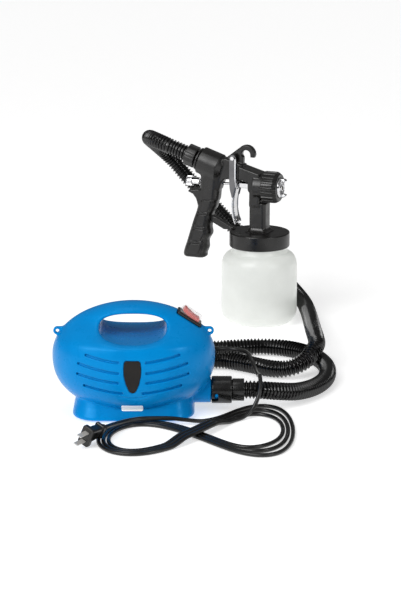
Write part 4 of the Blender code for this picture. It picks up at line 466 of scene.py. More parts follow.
floor_mesh = bpy.data.meshes.new("floor")
floor_corners = [(x * FLOOR_HALF, y * FLOOR_HALF, 0) for x, y in ((-1, -1), (1, -1), (1, 1), (-1, 1))]
floor_mesh.from_pydata(floor_corners, [], [(0, 1, 2, 3)])
floor = bpy.data.objects.new("floor", floor_mesh)
bpy.context.scene.collection.objects.link(floor)
floor_mesh.materials.append(finish(
    "pale_floor", (0.84, 0.84, 0.84), (0.86, 0.86, 0.86), (0.6, 0.7), 200, 2e-5,
    Emission_Color=(1.0, 1.0, 1.0, 1.0), Emission_Strength=FLOOR_GLOW,
))


# Routes in metres from the middle of the base, within a few millimetres of the solid model's
HOSE_ROUTE = (
    (0.19, 0.013, 0.0238),
    (0.215, 0.033, 0.0175),
    (0.239, 0.066, 0.0135),
    (0.256, 0.105, 0.0125),
    (0.262, 0.148, 0.0125),
    (0.258, 0.189, 0.0125),
    (0.243, 0.228, 0.0125),
    (0.215, 0.258, 0.0125),
    (0.178, 0.271, 0.0125),
    (0.14, 0.266, 0.0125),
    (0.112, 0.26, 0.0125),
    (0.082, 0.263, 0.0125),
    (0.05, 0.279, 0.0125),
    (0.023, 0.296, 0.0125),
    (-0.009, 0.303, 0.0125),
    (-0.043, 0.293, 0.0125),
    (-0.067, 0.265, 0.0125),
    (-0.075, 0.229, 0.0125),
    (-0.065, 0.193, 0.0125),
    (-0.038, 0.167, 0.0125),
    (-0.002, 0.158, 0.0125),
    (0.034, 0.166, 0.0125),
    (0.064, 0.183, 0.0125),
    (0.094, 0.198, 0.0125),
    (0.124, 0.1985, 0.0125),
    (0.152, 0.1825, 0.0125),
    (0.178, 0.1625, 0.0125),
    (0.2, 0.1525, 0.0135),
    (0.219, 0.1525, 0.018),
    (0.2345, 0.161, 0.026),
    (0.2435, 0.1755, 0.0337),
    (0.249, 0.193, 0.038),
    (0.2492, 0.214, 0.0395),
    (0.2486, 0.24, 0.0393),
    (0.248, 0.272, 0.0372),
    (0.248, 0.308, 0.034),
    (0.2482, 0.352, 0.0295),
    (0.2482, 0.4, 0.0245),
    (0.2475, 0.448, 0.0205),
    (0.2432, 0.493, 0.0215),
    (0.227, 0.535, 0.033),
    (0.196, 0.572, 0.059),
    (0.15, 0.602, 0.101),
    (0.105, 0.626, 0.145),
    (0.067, 0.644, 0.1835),
    (0.0425, 0.649, 0.212),
    (0.023, 0.636, 0.2335),
    (0.0125, 0.608, 0.2485),
    (0.0095, 0.574, 0.2585),
    (0.012, 0.548, 0.2635),
    (0.0205, 0.5265, 0.264),
)
CORD_ROUTE = (
    (0.061, 0.111, 0.068),
    (0.075, 0.143, 0.058),
    (0.0925, 0.175, 0.042),
    (0.107, 0.1955, 0.031),
    (0.1305, 0.2025, 0.0284),
    (0.151, 0.186, 0.0284),
    (0.158, 0.154, 0.025),
    (0.1625, 0.124, 0.022),
    (0.1645, 0.092, 0.024),
    (0.165, 0.058, 0.032),
    (0.1645, 0.027, 0.0425),
    (0.165, 0.007, 0.0465),
    (0.1655, -0.008, 0.043),
    (0.164, -0.019, 0.0315),
    (0.1595, -0.0245, 0.0195),
    (0.153, -0.029, 0.0095),
)
TAIL_ROUTE = (
    (0.1105, -0.039, 0.0034),
    (0.0985, -0.0505, 0.004),
    (0.086, -0.058, 0.005),
    (0.068, -0.061, 0.0076),
    (0.05, -0.0615, 0.0098),
    (0.03, -0.062, 0.0102),
    (0.01, -0.064, 0.0102),
    (-0.008, -0.075, 0.0106),
    (-0.021, -0.094, 0.0128),
)


def smooth_route(spots, spacing):
    """Points at even spacing on a smooth curve through the spots."""
    spots = np.array([tuple(s) for s in spots])
    ends = np.concatenate(([2 * spots[0] - spots[1]], spots, [2 * spots[-1] - spots[-2]]))
    t = np.linspace(0.0, 1.0, 24, endpoint=False)[:, None]
    fine = []
    for a, b, c, d in zip(ends, ends[1:], ends[2:], ends[3:]):
        curve = 2 * b + (c - a) * t + (2 * a - 5 * b + 4 * c - d) * t**2 + (3 * b - a - 3 * c + d) * t**3
        fine.append(0.5 * curve)
    fine = np.concatenate(fine + [spots[-1:]])
    walked = np.concatenate(([0.0], np.cumsum(np.linalg.norm(np.diff(fine, axis=0), axis=1))))
    even = np.linspace(0.0, walked[-1], max(3, round(walked[-1] / spacing) + 1))
    return np.stack([np.interp(even, walked, fine[:, k]) for k in range(3)], -1), walked[-1]


def tube_rings(route, radii, sides):
    """Rings of points round a route, each carried on from the last without twist."""
    rings = []
    side = np.array(UP)
    for i, spot in enumerate(route):
        way = route[min(i + 2, len(route) - 1)] - route[max(i - 2, 0)]
        way = way / np.linalg.norm(way)
        side = side - way * side.dot(way)
        side = side / np.linalg.norm(side)
        across = np.cross(way, side)
        angles = np.linspace(0.0, math.tau, sides, endpoint=False)[:, None]
        rings.append(spot + radii[i] * (side * np.cos(angles) + across * np.sin(angles)))
    return rings


def skinned(rings, first=0, flip=False):
    faces = []
    sides = len(rings[0])
    for i in range(len(rings) - 1):
        for s in range(sides):
            n = (s + 1) % sides
            low, high = first + i * sides, first + (i + 1) * sides
            face = (low + s, low + n, high + n, high + s)
            faces.append(face[::-1] if flip else face)
    return faces


# Ribbed hose from the sleeve on the base to the coupling nut on the gun
base_spot = np.array(BASE)
inlet_axis = joint_axis("nut_turn")
hose_end = joint_spot("nut_turn") + inlet_axis * 5.4 * MM
hose_spots = [(x * MM, y * MM, z * MM) for x, y, z in (
    (HOSE_START, 0, OUTLET_Z),
    (SLEEVE_END, 0, OUTLET_Z),
    (SLEEVE_END + 0.9 * HOSE_RADIUS, 0.3, OUTLET_Z - 0.2),
    (SLEEVE_END + 2 * HOSE_RADIUS, 3.0, OUTLET_Z - 1.7),
)]
hose_spots = [np.array(s) + base_spot for s in hose_spots + list(HOSE_ROUTE)]
hose_spots += [np.array(hose_end + inlet_axis * d * MM) for d in (48.0, 32.0, 16.0, 0.0)]
hose_path, hose_length = smooth_route(hose_spots, RIB_PITCH * MM / STEPS_PER_RIB)
ribs = round(hose_length / (RIB_PITCH * MM))
phase = np.linspace(0.0, math.tau * ribs, len(hose_path))
crest = np.clip(RIB_LEVEL - RIB_SWING * np.cos(phase), 0.0, 1.0)
hose_radii = (HOSE_VALLEY + (HOSE_RADIUS - HOSE_VALLEY) * crest) * MM
bore_path = hose_path[:: 2 * STEPS_PER_RIB]
outer = tube_rings(hose_path, hose_radii, HOSE_SIDES)
inner = tube_rings(bore_path, np.full(len(bore_path), HOSE_BORE * MM), HOSE_SIDES)
hose_verts = np.concatenate(outer + inner).tolist()
inner_first = len(outer) * HOSE_SIDES
last_out, last_in = inner_first - HOSE_SIDES, len(hose_verts) - HOSE_SIDES
hose_faces = skinned(outer) + skinned(inner, inner_first, True)
for s in range(HOSE_SIDES):
    n = (s + 1) % HOSE_SIDES
    hose_faces.append((n, s, inner_first + s, inner_first + n))
    hose_faces.append((last_out + s, last_out + n, last_in + n, last_in + s))
hose = piece("ribbed_hose", hose_verts, hose_faces, Matrix.Identity(4), HOSE, "set", "air_hose")


# Lead: a free run from the gland, a figure of eight on the floor, and the tail to the plug
def hank_spot(phase):
    def bare(t):
        turn = (t - HANK_START) / math.tau
        fan = HANK_FAN * (1.0 - turn / HANK_LOOPS) * float(step(math.cos(t), 0.2, 1.0))
        width = (HANK_HALF_WIDTH + HANK_SKEW * math.cos(t)) * (1.0 - fan)
        x = HANK_CENTRE[0] + HANK_HALF_LENGTH * math.cos(t)
        return Vector((x, HANK_CENTRE[1] + HANK_LEAN * math.cos(t) + width * math.sin(2 * t), 0.0))

    ahead = bare(phase + 1e-4) - bare(phase - 1e-4)
    left = Vector((-ahead.y, ahead.x, 0.0)).normalized()
    loops = (phase - HANK_START) / math.tau
    away = abs((phase - math.pi / 2 + math.pi) % math.tau - math.pi)
    lift = CORD_RADIUS + FIT * MM + (1.0 - step(away, 0.13, 0.34)) * HANK_PITCH
    return bare(phase) + left * (HANK_LOOPS / 2 - loops) * HANK_PITCH + UP * float(lift)


def body_depth(x, z):
    slim = 1.0 - (1.0 - HANDLE_SLIM) * step(z, SLIM_LOW_Z, SLIM_HIGH_Z)
    left = 1.0 - (x / HALF_WIDTH) ** 2 - ((z - CENTRE_Z) / HALF_HEIGHT) ** 2
    return HALF_DEPTH * slim * np.sqrt(np.maximum(left, 0.0))


gland_root = Vector((GLAND_X, float(body_depth(GLAND_X, GLAND_Z)), GLAND_Z)) * MM
gland_tip = gland_root + GLAND_WAY * GLAND_LENGTH * MM
loop_count = HANK_LOOPS * HANK_LOOP_STEPS
hank = [hank_spot(HANK_START + math.tau * i / HANK_LOOP_STEPS) for i in range(loop_count + 1)]
hank_way = (hank[1] - hank[0]).normalized()
plug_way = Vector((math.cos(PLUG_TURN), math.sin(PLUG_TURN), 0.0))
run_end = hank[0] - hank_way * 9 * MM + UP * MM
run_spots = [gland_tip, gland_tip + GLAND_WAY * 2 * CORD_RADIUS, *CORD_ROUTE, run_end, hank[0]]
tail_spots = [hank[-2], hank[-1], *TAIL_ROUTE, PLUG_REAR - plug_way * 2 * CORD_RADIUS, PLUG_REAR]
lead_spacing = 1.2 * CORD_RADIUS
run_path, _ = smooth_route(run_spots, lead_spacing)
hank_path, _ = smooth_route(hank, lead_spacing)
tail_path, _ = smooth_route(tail_spots, lead_spacing)
tail_first = int(np.argmin(np.linalg.norm(tail_path - np.array(hank[-1]), axis=1))) + 1
lead_path = np.concatenate((run_path, hank_path[1:], tail_path[tail_first:])) + base_spot
lead_curve = bpy.data.curves.new("mains_lead", "CURVE")
lead_curve.dimensions = "3D"
lead_curve.bevel_depth = CORD_RADIUS
lead_curve.bevel_resolution = 5
lead_curve.use_fill_caps = True
lead_line = lead_curve.splines.new("POLY")
lead_line.points.add(len(lead_path) - 1)
for point, spot in zip(lead_line.points, lead_path):
    point.co = (*spot, 1.0)
lead = bpy.data.objects.new("mains_lead", lead_curve)
bpy.context.scene.collection.objects.link(lead)
settle(lead, RUBBER, "set", "power_cord_run", "power_cord_hank")

# Plug body: ribbed relief, flange, box-shaped grip and wide face, lying on its edge
plug_turn = Euler((math.pi / 2, 0.0, PLUG_TURN + math.pi / 2)).to_matrix().to_4x4()
PLUG_FRAME = Matrix.Translation(BASE + PLUG_REAR) @ plug_turn
PLUG_FRAME = PLUG_FRAME @ Matrix.Rotation(PLUG_ROLL, 4, "Z") @ Matrix.Scale(MM, 4)


def plug_field(x, y, z):
    along = [0.0, 10.4, 11.6, 14.6, 15.8, 35.6, 37.2, PLUG_LENGTH]
    half_x = np.interp(z, along, [4.2, 5.2, 9.8, 9.8, 8.2, 9.4, 12.9, 12.9])
    half_y = np.interp(z, along, [4.2, 5.0, 7.4, 7.4, 5.8, 6.4, 8.4, 8.4])
    ribs = np.where(z < 10.8, 0.5 * np.cos(z * math.tau / 3.0), 0.0)
    side = rectangle(x, y, half_x + ribs, half_y + ribs, np.minimum(half_y, 4.0) - 0.8)
    return soft_max(0.75 * side, np.abs(z - PLUG_LENGTH / 2) - PLUG_LENGTH / 2, 1.2)


plug_shape = net(plug_field, (-15, -11, -2), (15, 11, 45), 0.6)
plug = piece("plug_moulding", *plug_shape, PLUG_FRAME, RUBBER, "set", "plug_body")


# Base housing: egg, pedestal, lugs and outlet boss, less the handle tunnel, grooves, seats and slots
def egg(x, y, z):
    slim = HALF_DEPTH * (1.0 - (1.0 - HANDLE_SLIM) * step(z, SLIM_LOW_Z, SLIM_HIGH_Z))
    qx, qy, qz = np.abs(x) / HALF_WIDTH, y / slim, np.abs(z - CENTRE_Z) / HALF_HEIGHT
    round_x, round_y = qx * qx, qy * qy
    level = np.maximum(np.sqrt(round_x + round_y), 1e-6)
    belly = BELLY_SIDE + (BELLY_FRONT - BELLY_SIDE) * np.where(y < 0, round_y, 0.0) / level**2
    power = np.where(z < CENTRE_Z, belly, 2.0)
    size = np.maximum((level**power + qz**power) ** (1.0 / power), 1e-6)
    thin = size ** (1.0 - power)
    slope_level = thin * level ** (power - 2.0) * np.hypot(qx / HALF_WIDTH, qy / slim)
    slope_z = thin * qz ** (power - 1.0) / HALF_HEIGHT
    return (size - 1.0) / np.maximum(np.hypot(slope_level, slope_z), 1e-4)


SHIELD_RIGHT = [(0.0, 44.4), (3.8, 46.4), (8.2, 56.4), (10.9, 68.6), (11.2, 79.0), (10.4, 86.4), (8.4, 88.2)]
SHIELD = eased(SHIELD_RIGHT + [(-x, z) for x, z in reversed(SHIELD_RIGHT[1:])], 2.0)
# Each groove's inner and outer end from the middle, its height at the inner end and its rise to the outer
GROOVES = ((18.0, 59.5, 85.8, 6.8), (18.3, 69.5, 71.6, 9.0), (18.5, 71.0, 58.6, 8.0), (13.5, 62.0, 44.2, 7.4))
high_post_depth = float(body_depth(HIGH_POST_X, HIGH_POST_Z))
POSTS = [(sign * HIGH_POST_X, HIGH_POST_Z, high_post_depth - POST_SINK) for sign in (-1, 1)]
POSTS += [(sign * LOW_POST_X, LOW_POST_Z, PEDESTAL_HALF_DEPTH - POST_SINK) for sign in (-1, 1)]
TO_SWITCH = SWITCH_FRAME.inverted() @ BASE_FRAME


def base_outside(x, y, z):
    shell = egg(x, y, z)
    inset = np.interp(z, FLARE_Z, FLARE_SIDE)
    reach = np.where(y < 0, PEDESTAL_FRONT - np.interp(z, FLARE_Z, FLARE_FRONT), PEDESTAL_HALF_DEPTH - 0.3 * inset)
    foot = 0.9 * rectangle(x, y, PEDESTAL_HALF_WIDTH + 1.5 - inset, reach, PEDESTAL_CORNER - inset)
    foot = soft_max(soft_max(foot, PEDESTAL_LOW_Z - z, 6.0), z - PEDESTAL_TOP_Z, 2.0)
    made = soft_min(shell, foot, 1.4)
    boss = soft_max(np.hypot(y, z - OUTLET_Z) - BOSS_RADIUS, np.abs(x - BOSS_MIDDLE) - (BOSS_END - BOSS_MIDDLE), 1.6)
    made = soft_min(made, boss, 3.0)
    past = np.maximum(LUG_X - 12.0 - np.abs(x), 0.0) + np.maximum(np.abs(x) - LUG_X, 0.0)
    ear = np.hypot(past, z - LUG_Z) - LUG_RADIUS
    return soft_min(made, soft_max(ear, np.abs(y) - LUG_HALF, 1.6), 2.5)


def base_field(x, y, z):
    shell = egg(x, y, z)
    made = base_outside(x, y, z)
    power = TUNNEL_POWER
    qx, qz = np.abs(x) / TUNNEL_HALF_WIDTH, np.abs(z - TUNNEL_Z) / TUNNEL_HALF_HEIGHT
    size = np.maximum((qx**power + qz**power) ** (1 / power), 1e-6)
    slope = np.hypot(qx ** (power - 1) / TUNNEL_HALF_WIDTH, qz ** (power - 1) / TUNNEL_HALF_HEIGHT)
    slope = slope * size ** (1 - power)
    made = soft_max(made, (1.0 - size) / np.maximum(slope, 1e-3), 6.0)

    # Smile grooves each side of the inlay, and one short shallow crease under it
    for inner_x, outer_x, inner_z, rise in GROOVES:
        span = outer_x - inner_x
        t = np.clip((np.abs(x) - inner_x) / span, 0.0, 1.0)
        lean = 1.0 / np.sqrt(1.0 + (1.4 * rise * t**0.4 / span) ** 2)
        past = np.maximum(np.maximum(inner_x - np.abs(x), np.abs(x) - outer_x), 0.0)
        line = np.hypot(past, (z - inner_z - rise * t**1.4) * lean) - GROOVE_HALF
        cut = soft_max(soft_max(line, -shell - GROOVE_DEPTH, 0.8), y, 1.0)
        made = soft_max(made, -cut, 0.9)
    line = np.hypot(np.maximum(np.abs(x) - 18.0, 0.0), z - 37.0 - x * x / 110.0) - 0.9
    made = soft_max(made, -soft_max(soft_max(line, -shell - 0.5, 0.5), y, 1.0), 0.8)
    recess = soft_max(outlined(x, z, SHIELD) - FIT - 0.3, -shell - INLAY_DEPTH, 0.4)
    made = soft_max(made, -soft_max(recess, y, 0.5), 0.5)

    # Rear intake slots, screw wells, switch seat and the strap holes
    for k in range(INTAKE_COUNT):
        height = z - CENTRE_Z + INTAKE_DROP - (k - (INTAKE_COUNT - 1) / 2) * INTAKE_PITCH
        slot = rectangle(x - INTAKE_X, height, INTAKE_HALF_LENGTH, INTAKE_HALF_WIDTH, INTAKE_HALF_WIDTH - 0.1)
        made = soft_max(made, -soft_max(soft_max(slot, -shell - INTAKE_DEPTH, 0.5), -y, 0.5), 1.0)
    for post_x, post_z, head in POSTS:
        well = np.maximum(np.hypot(x - post_x, z - post_z) - WELL_RADIUS, head - FIT - y)
        made = soft_max(made, -well, 0.9)
    along, across, out = spread(TO_SWITCH, x, y, z)
    seat = np.maximum(rectangle(along, across, 18.3, 32.5, 3.0), -out - FIT)
    made = soft_max(made, -seat, 1.4)
    hole = np.hypot(np.abs(x) - LUG_X, z - LUG_Z) - LUG_HOLE
    return soft_max(made, -hole, 0.9)


SEAM = 0.12
for label, sign in (("front", -1), ("rear", 1)):
    def half_field(x, y, z, sign=sign):
        return soft_max(base_field(x, y, z), SEAM - sign * y, 0.5)

    low_y, high_y = (-73.0, 3.0) if sign < 0 else (-3.0, 73.0)
    shape = net(half_field, (-110.0, low_y, -1.0), (110.0, high_y, 155.0), 0.95 if sign < 0 else 1.2)
    piece(f"{label}_shell", *shape, BASE_FRAME, BLUE, "set", f"{label}_housing", crease=60.0)


def front_face(x, z):
    """Depth of the smooth front of the base, found by halving."""
    near, far = np.full(x.shape, -90.0), np.full(x.shape, -5.0)
    for _ in range(40):
        middle = (near + far) / 2
        inside = base_outside(x, middle, z) < 0
        near, far = np.where(inside, near, middle), np.where(inside, middle, far)
    return near


def inlaid(name, outline, rise, edge, material, *replaced):
    """Thin crowned panel that follows the front of the base inside an outline."""
    middle = np.mean(np.array(outline), axis=0)
    shares = (1.0, 0.985, 0.96, 0.9, 0.8, 0.65, 0.5, 0.35, 0.2, 0.08)
    lifts = (-1.0, 0.45, 0.9, 1.0, 1.0, 1.0, 1.0, 1.0, 1.0, 1.0)
    verts, count = [], len(outline)
    for share, lift in zip(shares, lifts):
        spots = middle + (np.array(outline) - middle) * (1 - edge * (1 - share) if share > 0.95 else share)
        depth = front_face(spots[:, 0], spots[:, 1]) - (rise if lift > 0 else 1.0) * lift
        verts += np.stack((spots[:, 0], depth, spots[:, 1]), -1).tolist()
    faces = []
    for i in range(len(shares) - 1):
        for s in range(count):
            n = (s + 1) % count
            faces.append((i * count + s, i * count + n, (i + 1) * count + n, (i + 1) * count + s))
    last = (len(shares) - 1) * count
    faces.append(tuple(range(last, last + count)))
    faces.append(tuple(reversed(range(count))))
    return piece(name, verts, faces, BASE_FRAME, material, "set", *replaced, crease=50.0)


inlaid("shield_inlay", SHIELD, 0.4, 1.0, INLAY, "front_inlay")
label_low = [(LABEL_LEFT, LABEL_LOW), (LABEL_RIGHT, LABEL_LOW)]
label_outline = eased(label_low + [(LABEL_RIGHT, LABEL_HIGH), (LABEL_LEFT, LABEL_HIGH)], 2.2)
fine_label = []
for p, q in zip(label_outline, label_outline[1:] + label_outline[:1]):
    pieces = max(1, round(math.dist(p, q) / 1.5))
    fine_label += [(p[0] + (q[0] - p[0]) * k / pieces, p[1] + (q[1] - p[1]) * k / pieces) for k in range(pieces)]
inlaid("blank_plate", fine_label, 0.35, 0.5, LABEL)

# Feet and gland
for k, (sx, sy) in enumerate(((-1, -1), (1, -1), (-1, 1), (1, 1))):
    foot = eased([(0, 0), (FOOT_RADIUS - 1.0, 0), (FOOT_RADIUS - 0.5, FOOT_HEIGHT), (0, FOOT_HEIGHT)], 1.0)
    place = BASE_FRAME @ Matrix.Translation((sx * FOOT_X, sy * FOOT_Y, 0.0))
    piece(f"foot_{k + 1}", *turned(foot, 48), place, RUBBER, "set", f"rubber_foot_{k + 1}")
GLAND_FRAME = local(BASE + gland_root, UP, GLAND_WAY)
relief = [(0, -7), (5.5, -7), (5.5, -1.2), (8.5, -1.2), (8.5, 2)]
for k in range(4):
    start, thick = 4.5 + 5.4 * k, 6.4 - 0.5 * k
    relief += [(thick - 1.2, start - 2), (thick, start), (thick, start + 2)]
relief += [(4.0, GLAND_LENGTH), (0, GLAND_LENGTH)]
piece("lead_relief", *turned(eased(relief, 0.8), 48), GLAND_FRAME, RUBBER, "set", "cord_gland")


# Switch: bezel with its pocket, rocker and clear boot
def bezel_field(x, y, z):
    rim = soft_max(plate(rectangle(x, y, 18.0, 12.5, 3.0), z - 2.0, 2.0, 1.2), -z, 0.5)
    under = soft_max(rectangle(x, y, 15.1, 9.5, 1.5), np.abs(z + 5.5) - 6.5, 0.6)
    pocket = np.maximum(rectangle(x, y, 13.6, 8.0, 1.0), -1.0 - z)
    return soft_max(soft_min(rim, under, 0.8), -pocket, 0.8)


def rocker_field(x, y, z):
    outline = [(-12.5, -2.2), (-5.0, -3.2), (5.0, -3.2), (12.5, -2.2), (12.5, 2.6), (10.6, 3.2)]
    outline += [(6.5, 2.5), (0.0, 2.0), (-6.5, 2.5), (-10.6, 3.2), (-12.5, 2.6)]
    return plate(outlined(x, z, outline), y, 7.6, 0.7)


def boot_field(x, y, z):
    low, top = 4.3, 12.9
    inset = np.interp(z, (low + 1.0, top - 2.0, top), (0.0, 1.2, 2.4))
    outside = soft_max(rectangle(x, y, 16.0 - inset, 10.4 - inset, 4.0), z - top, 2.4)
    inside = soft_max(rectangle(x, y, 14.8 - inset, 9.2 - inset, 3.0), z - top + 1.2, 2.0)
    return np.maximum(soft_max(outside, -inside, 0.4), low - z)


ROCKER_FRAME = SWITCH_FRAME @ Matrix.Translation((0, 0, ROCKER_HEIGHT)) @ Matrix.Rotation(ROCKER_REST, 4, "Y")
piece("bezel", *net(bezel_field, (-20, -15, -14), (20, 15, 9), 0.6), SWITCH_FRAME, BLACK, "set", "switch_bezel")
rocker_shape = net(rocker_field, (-14, -9, -5), (14, 9, 5), 0.45)
piece("rocker", *rocker_shape, ROCKER_FRAME, RED, "switch_rocker", "switch_rocker")
piece("boot", *net(boot_field, (-18, -12, 3), (18, 12, 18), 0.5), SWITCH_FRAME, CLEAR, "set", "switch_boot")


# Bayonet collar and hose sleeve
COLLAR_START, COLLAR_END, COLLAR_RADIUS = 101.6, 128.4, 18.0
COLLAR_BORE, LIP_BORE, LIP_LENGTH = 13.9, 12.6, 3.2
SLOT_RADIUS, SLOT_FLOOR = 15.5, 11.0
PIN_TURN, LOCK_TURN = math.radians(-80.0), math.radians(25.0)
PIN_X, SLOT_HALF = COLLAR_START + 6.5, 2.3


def collar_field(x, y, z):
    around = np.hypot(x, y)
    outline = [(COLLAR_BORE, COLLAR_START), (COLLAR_RADIUS, COLLAR_START), (COLLAR_RADIUS, COLLAR_END)]
    outline += [(LIP_BORE, COLLAR_END), (LIP_BORE, COLLAR_END - LIP_LENGTH), (COLLAR_BORE, COLLAR_END - LIP_LENGTH)]
    made = outlined(around, z, outline)
    made = soft_max(made, around + np.abs(z - 115.0) - COLLAR_RADIUS - 12.6, 1.2)
    for turn in (PIN_TURN, PIN_TURN + math.pi):
        angle = (np.arctan2(y, x) - turn - LOCK_TURN / 2 + math.pi) % math.tau - math.pi
        swept = np.maximum(np.abs(angle) - LOCK_TURN / 2, 0.0) * SLOT_RADIUS
        leg = np.hypot(swept, z - PIN_X) - SLOT_HALF
        entry = np.maximum(np.abs(angle - LOCK_TURN / 2) * SLOT_RADIUS - SLOT_HALF, z - PIN_X)
        made = soft_max(made, -np.maximum(np.minimum(leg, entry), SLOT_FLOOR - around), 0.7)
    return made


collar_shape = net(collar_field, (-20, -20, 100), (20, 20, 130), 0.6)
piece("collar", *collar_shape, OUTLET_FRAME, GLOSS, "hose_collar", "hose_collar")
sleeve = [(9, 119.0), (13.2, 119.0), (13.2, 124.8), (12.2, 124.8), (12.2, 128.8), (14.75, 128.8), (14.75, SLEEVE_END)]
sleeve += [(HOSE_RADIUS + FIT, SLEEVE_END), (HOSE_RADIUS + FIT, 130.0), (9, 130.0)]
piece("sleeve", *turned(eased(sleeve, 0.9), 72), OUTLET_FRAME, GLOSS, "set", "hose_sleeve")


# Gun body
BLOCK = [(-29.5, 217.5), (-15, 214.3), (-15, 202.8), (-12.4, 198.8), (-12.4, 178.8), (4, 178.8), (4, 228.1)]
BLOCK += [(-29.5, 237.8)]
WEB = [(-24, 215.8), (-24, 238.8), (-52, 247.8), (-78, 239.8), (-78, 201.8), (-62, 199.8), (-57, 211.8), (-52, 215.8)]
BARREL = [(-6, -44), (14, -44), (20.5, -37), (20.5, -6.5), (12, -6.5), (12, -4.5), (17.2, -4.5), (17.2, -1.5)]
BARREL += [(11, -1.5), (11, 0.7), (7.0, 0.7), (7.0, 13), (-6, 13)]
GRIP_Z = (92, 104, 111, 124, 130, 138, 148, 166, 184, 222)
GRIP_FRONT = (-83.5, -83.0, -80.0, -79.0, -75.2, -74.3, -76.0, -70.0, -63.5, -60.0)
GRIP_REAR = (-121.5, -119.2, -116.4, -112.5, -110.5, -108.0, -105.0, -98.5, -94.6, -92.0)
GRIP_LOW, GRIP_TOP = GRIP_Z[0], GRIP_Z[-1]
GRIP_HALF = (13.5, 14.2, 14.2, 14.0, 14.0, 14.0, 13.6, 13.4, 13.4, 13.4)
TANG = [(-88, 198), (-110, 196), (-112, 193), (-104, 189.5), (-99, 183), (-96, 174), (-88, 174)]
STRUT = [(-80, 147.5), (-76, 148.7), (-56, 138.5), (-47.5, 138.5), (-44.9, 139.8), (-39, 139.8), (-40, 142.2)]
STRUT += [(-46, 144.2), (-68, 155.8), (-76, 158)]
WAVE_START, WAVE_PITCH, WAVE_DEPTH = 106.0, 22.2, 1.1
GRIP_PANELS = ((106.0, 9.0), (128.0, 9.5), (150.5, 9.5), (173.0, 9.5))
EYE_U, EYE_Z = -21.0, 254.4


def arc(centre, radius, start, end, parts):
    turns = [math.radians(start + (end - start) * i / parts) for i in range(parts + 1)]
    return [(centre[0] + radius * math.cos(t), centre[1] + radius * math.sin(t)) for t in turns]


HOOK = [(-50, 242), (-52, 248)] + arc((EYE_U, EYE_Z), 14.2, 118, -2, 12) + [(-8, 250.4), (-14, 250.4)]
HOOK += arc((EYE_U, EYE_Z), 6.6, 0, 190, 12) + [(-25.2, 250), (-25.4, 236), (-40, 236)]
TO_INLET = INLET_FRAME.inverted() @ GUN_FRAME
BORES = ((4.2, -112, -70), (2.7, -71, -21), (4.4, -22, -10), (2.4, -11, 2), (8.3, 1, 12), (6.6, -99, -95.6))


def eased_interp(z, knots, values):
    """Straight steps between knots, softened over a few millimetres."""
    return sum(np.interp(z + shift, knots, values) for shift in (-4, -2, 0, 2, 4)) / 5


def gun_field(u, v, z):
    made = plate(outlined(u, z, BLOCK), v, 14.0, 2.6)
    made = soft_min(made, plate(outlined(u, z, WEB), v, 10.0, 2.5), 2.0)
    fillet = np.clip(1.0 - (z - LID_TOP_Z - FIT) / 8.0, 0.0, 1.0)
    stem_half = STEM_HALF + 8.0 * (1.0 - np.sqrt(1.0 - 0.98 * fillet**2))
    stem = soft_max(rectangle(u, v, stem_half, stem_half, 0.42 * stem_half), np.abs(z - 161.65) - 21.85, 0.6)
    made = soft_min(made, stem, 2.5)

    # Rear barrel on the inlet axis and the grip under it
    a, b, along = spread(TO_INLET, u, v, z)
    made = soft_min(made, outlined(np.hypot(a, b), along, BARREL), 2.0)
    front, rear = eased_interp(z, GRIP_Z, GRIP_FRONT), eased_interp(z, GRIP_Z, GRIP_REAR)
    waves = 1.0 - np.cos((z - WAVE_START) * math.tau / WAVE_PITCH)
    front = front - WAVE_DEPTH * waves * step(z, GRIP_LOW, 100) * (1.0 - step(z, 176, 184))
    half = np.interp(z, GRIP_Z, GRIP_HALF)
    middle, reach = (front + rear) / 2, (front - rear) / 2
    grip = rectangle(u - middle, v, reach, half, 0.8 * half)
    for panel_z, panel_half in GRIP_PANELS:
        panel = rectangle(u - middle, z - panel_z, 0.62 * reach, panel_half, 3.0)
        line = soft_max(np.abs(panel) - 0.7, half - 1.3 - np.abs(v), 0.5)
        grip = soft_max(grip, -line, 0.7)
    grip = soft_max(soft_max(grip, GRIP_LOW - z, 7.0), z - GRIP_TOP, 1.0)
    made = soft_min(made, grip, 4.0)

    made = soft_min(made, plate(outlined(u, z, TANG), v, 10.0, 2.2), 3.0)
    made = soft_min(made, plate(outlined(u, z, STRUT), v, 5.0, 1.6), 2.0)
    made = soft_min(made, plate(outlined(u, z, HOOK), v, 4.5, 1.6), 1.5)
    off_axis = np.hypot(v, z - NEEDLE_Z)
    made = soft_min(made, soft_max(off_axis - 19.9, np.abs(u - 1.5) - 7.5, 0.8), 1.2)
    for radius, start, end in BORES:
        bore = np.maximum(off_axis - radius, np.abs(u - (start + end) / 2) - (end - start) / 2)
        made = soft_max(made, -bore, 0.4)
    return made


gun_shape = net(gun_field, (-130, -24, 88), (22, 24, 274), 0.9)
piece("gun_moulding", *gun_shape, GUN_FRAME, BLACK, "set", "gun_body", crease=60.0)

# Cup with its wall, and the lid
neck_z, rim_z = LID_LOW_Z - 9.5, 134.3
quarter = [k / 14 * math.pi / 2 for k in range(15)]
outside = [(0, 1.5), (0.5 * CUP_RADIUS, 1.5), (0.54 * CUP_RADIUS, 0.0)]
outside += [(CUP_RADIUS - CUP_CORNER * (1 - math.sin(t)), CUP_CORNER * (1 - math.cos(t))) for t in quarter]
shoulder, climb = CUP_RADIUS - NECK_RADIUS - 1.5, neck_z - CUP_SHOULDER_Z
outside += [(CUP_RADIUS - shoulder * (1 - math.cos(t)), CUP_SHOULDER_Z + climb * math.sin(t)) for t in quarter]
outside += [(NECK_RADIUS, neck_z + 2), (NECK_RADIUS, rim_z)]
inside = [(0, 1.5 + CUP_WALL), (0.5 * CUP_RADIUS, 1.5 + CUP_WALL)]
inside += [(r - CUP_WALL * math.sin(t), z + CUP_WALL * math.cos(t)) for (r, z), t in zip(outside[3:18], quarter)]
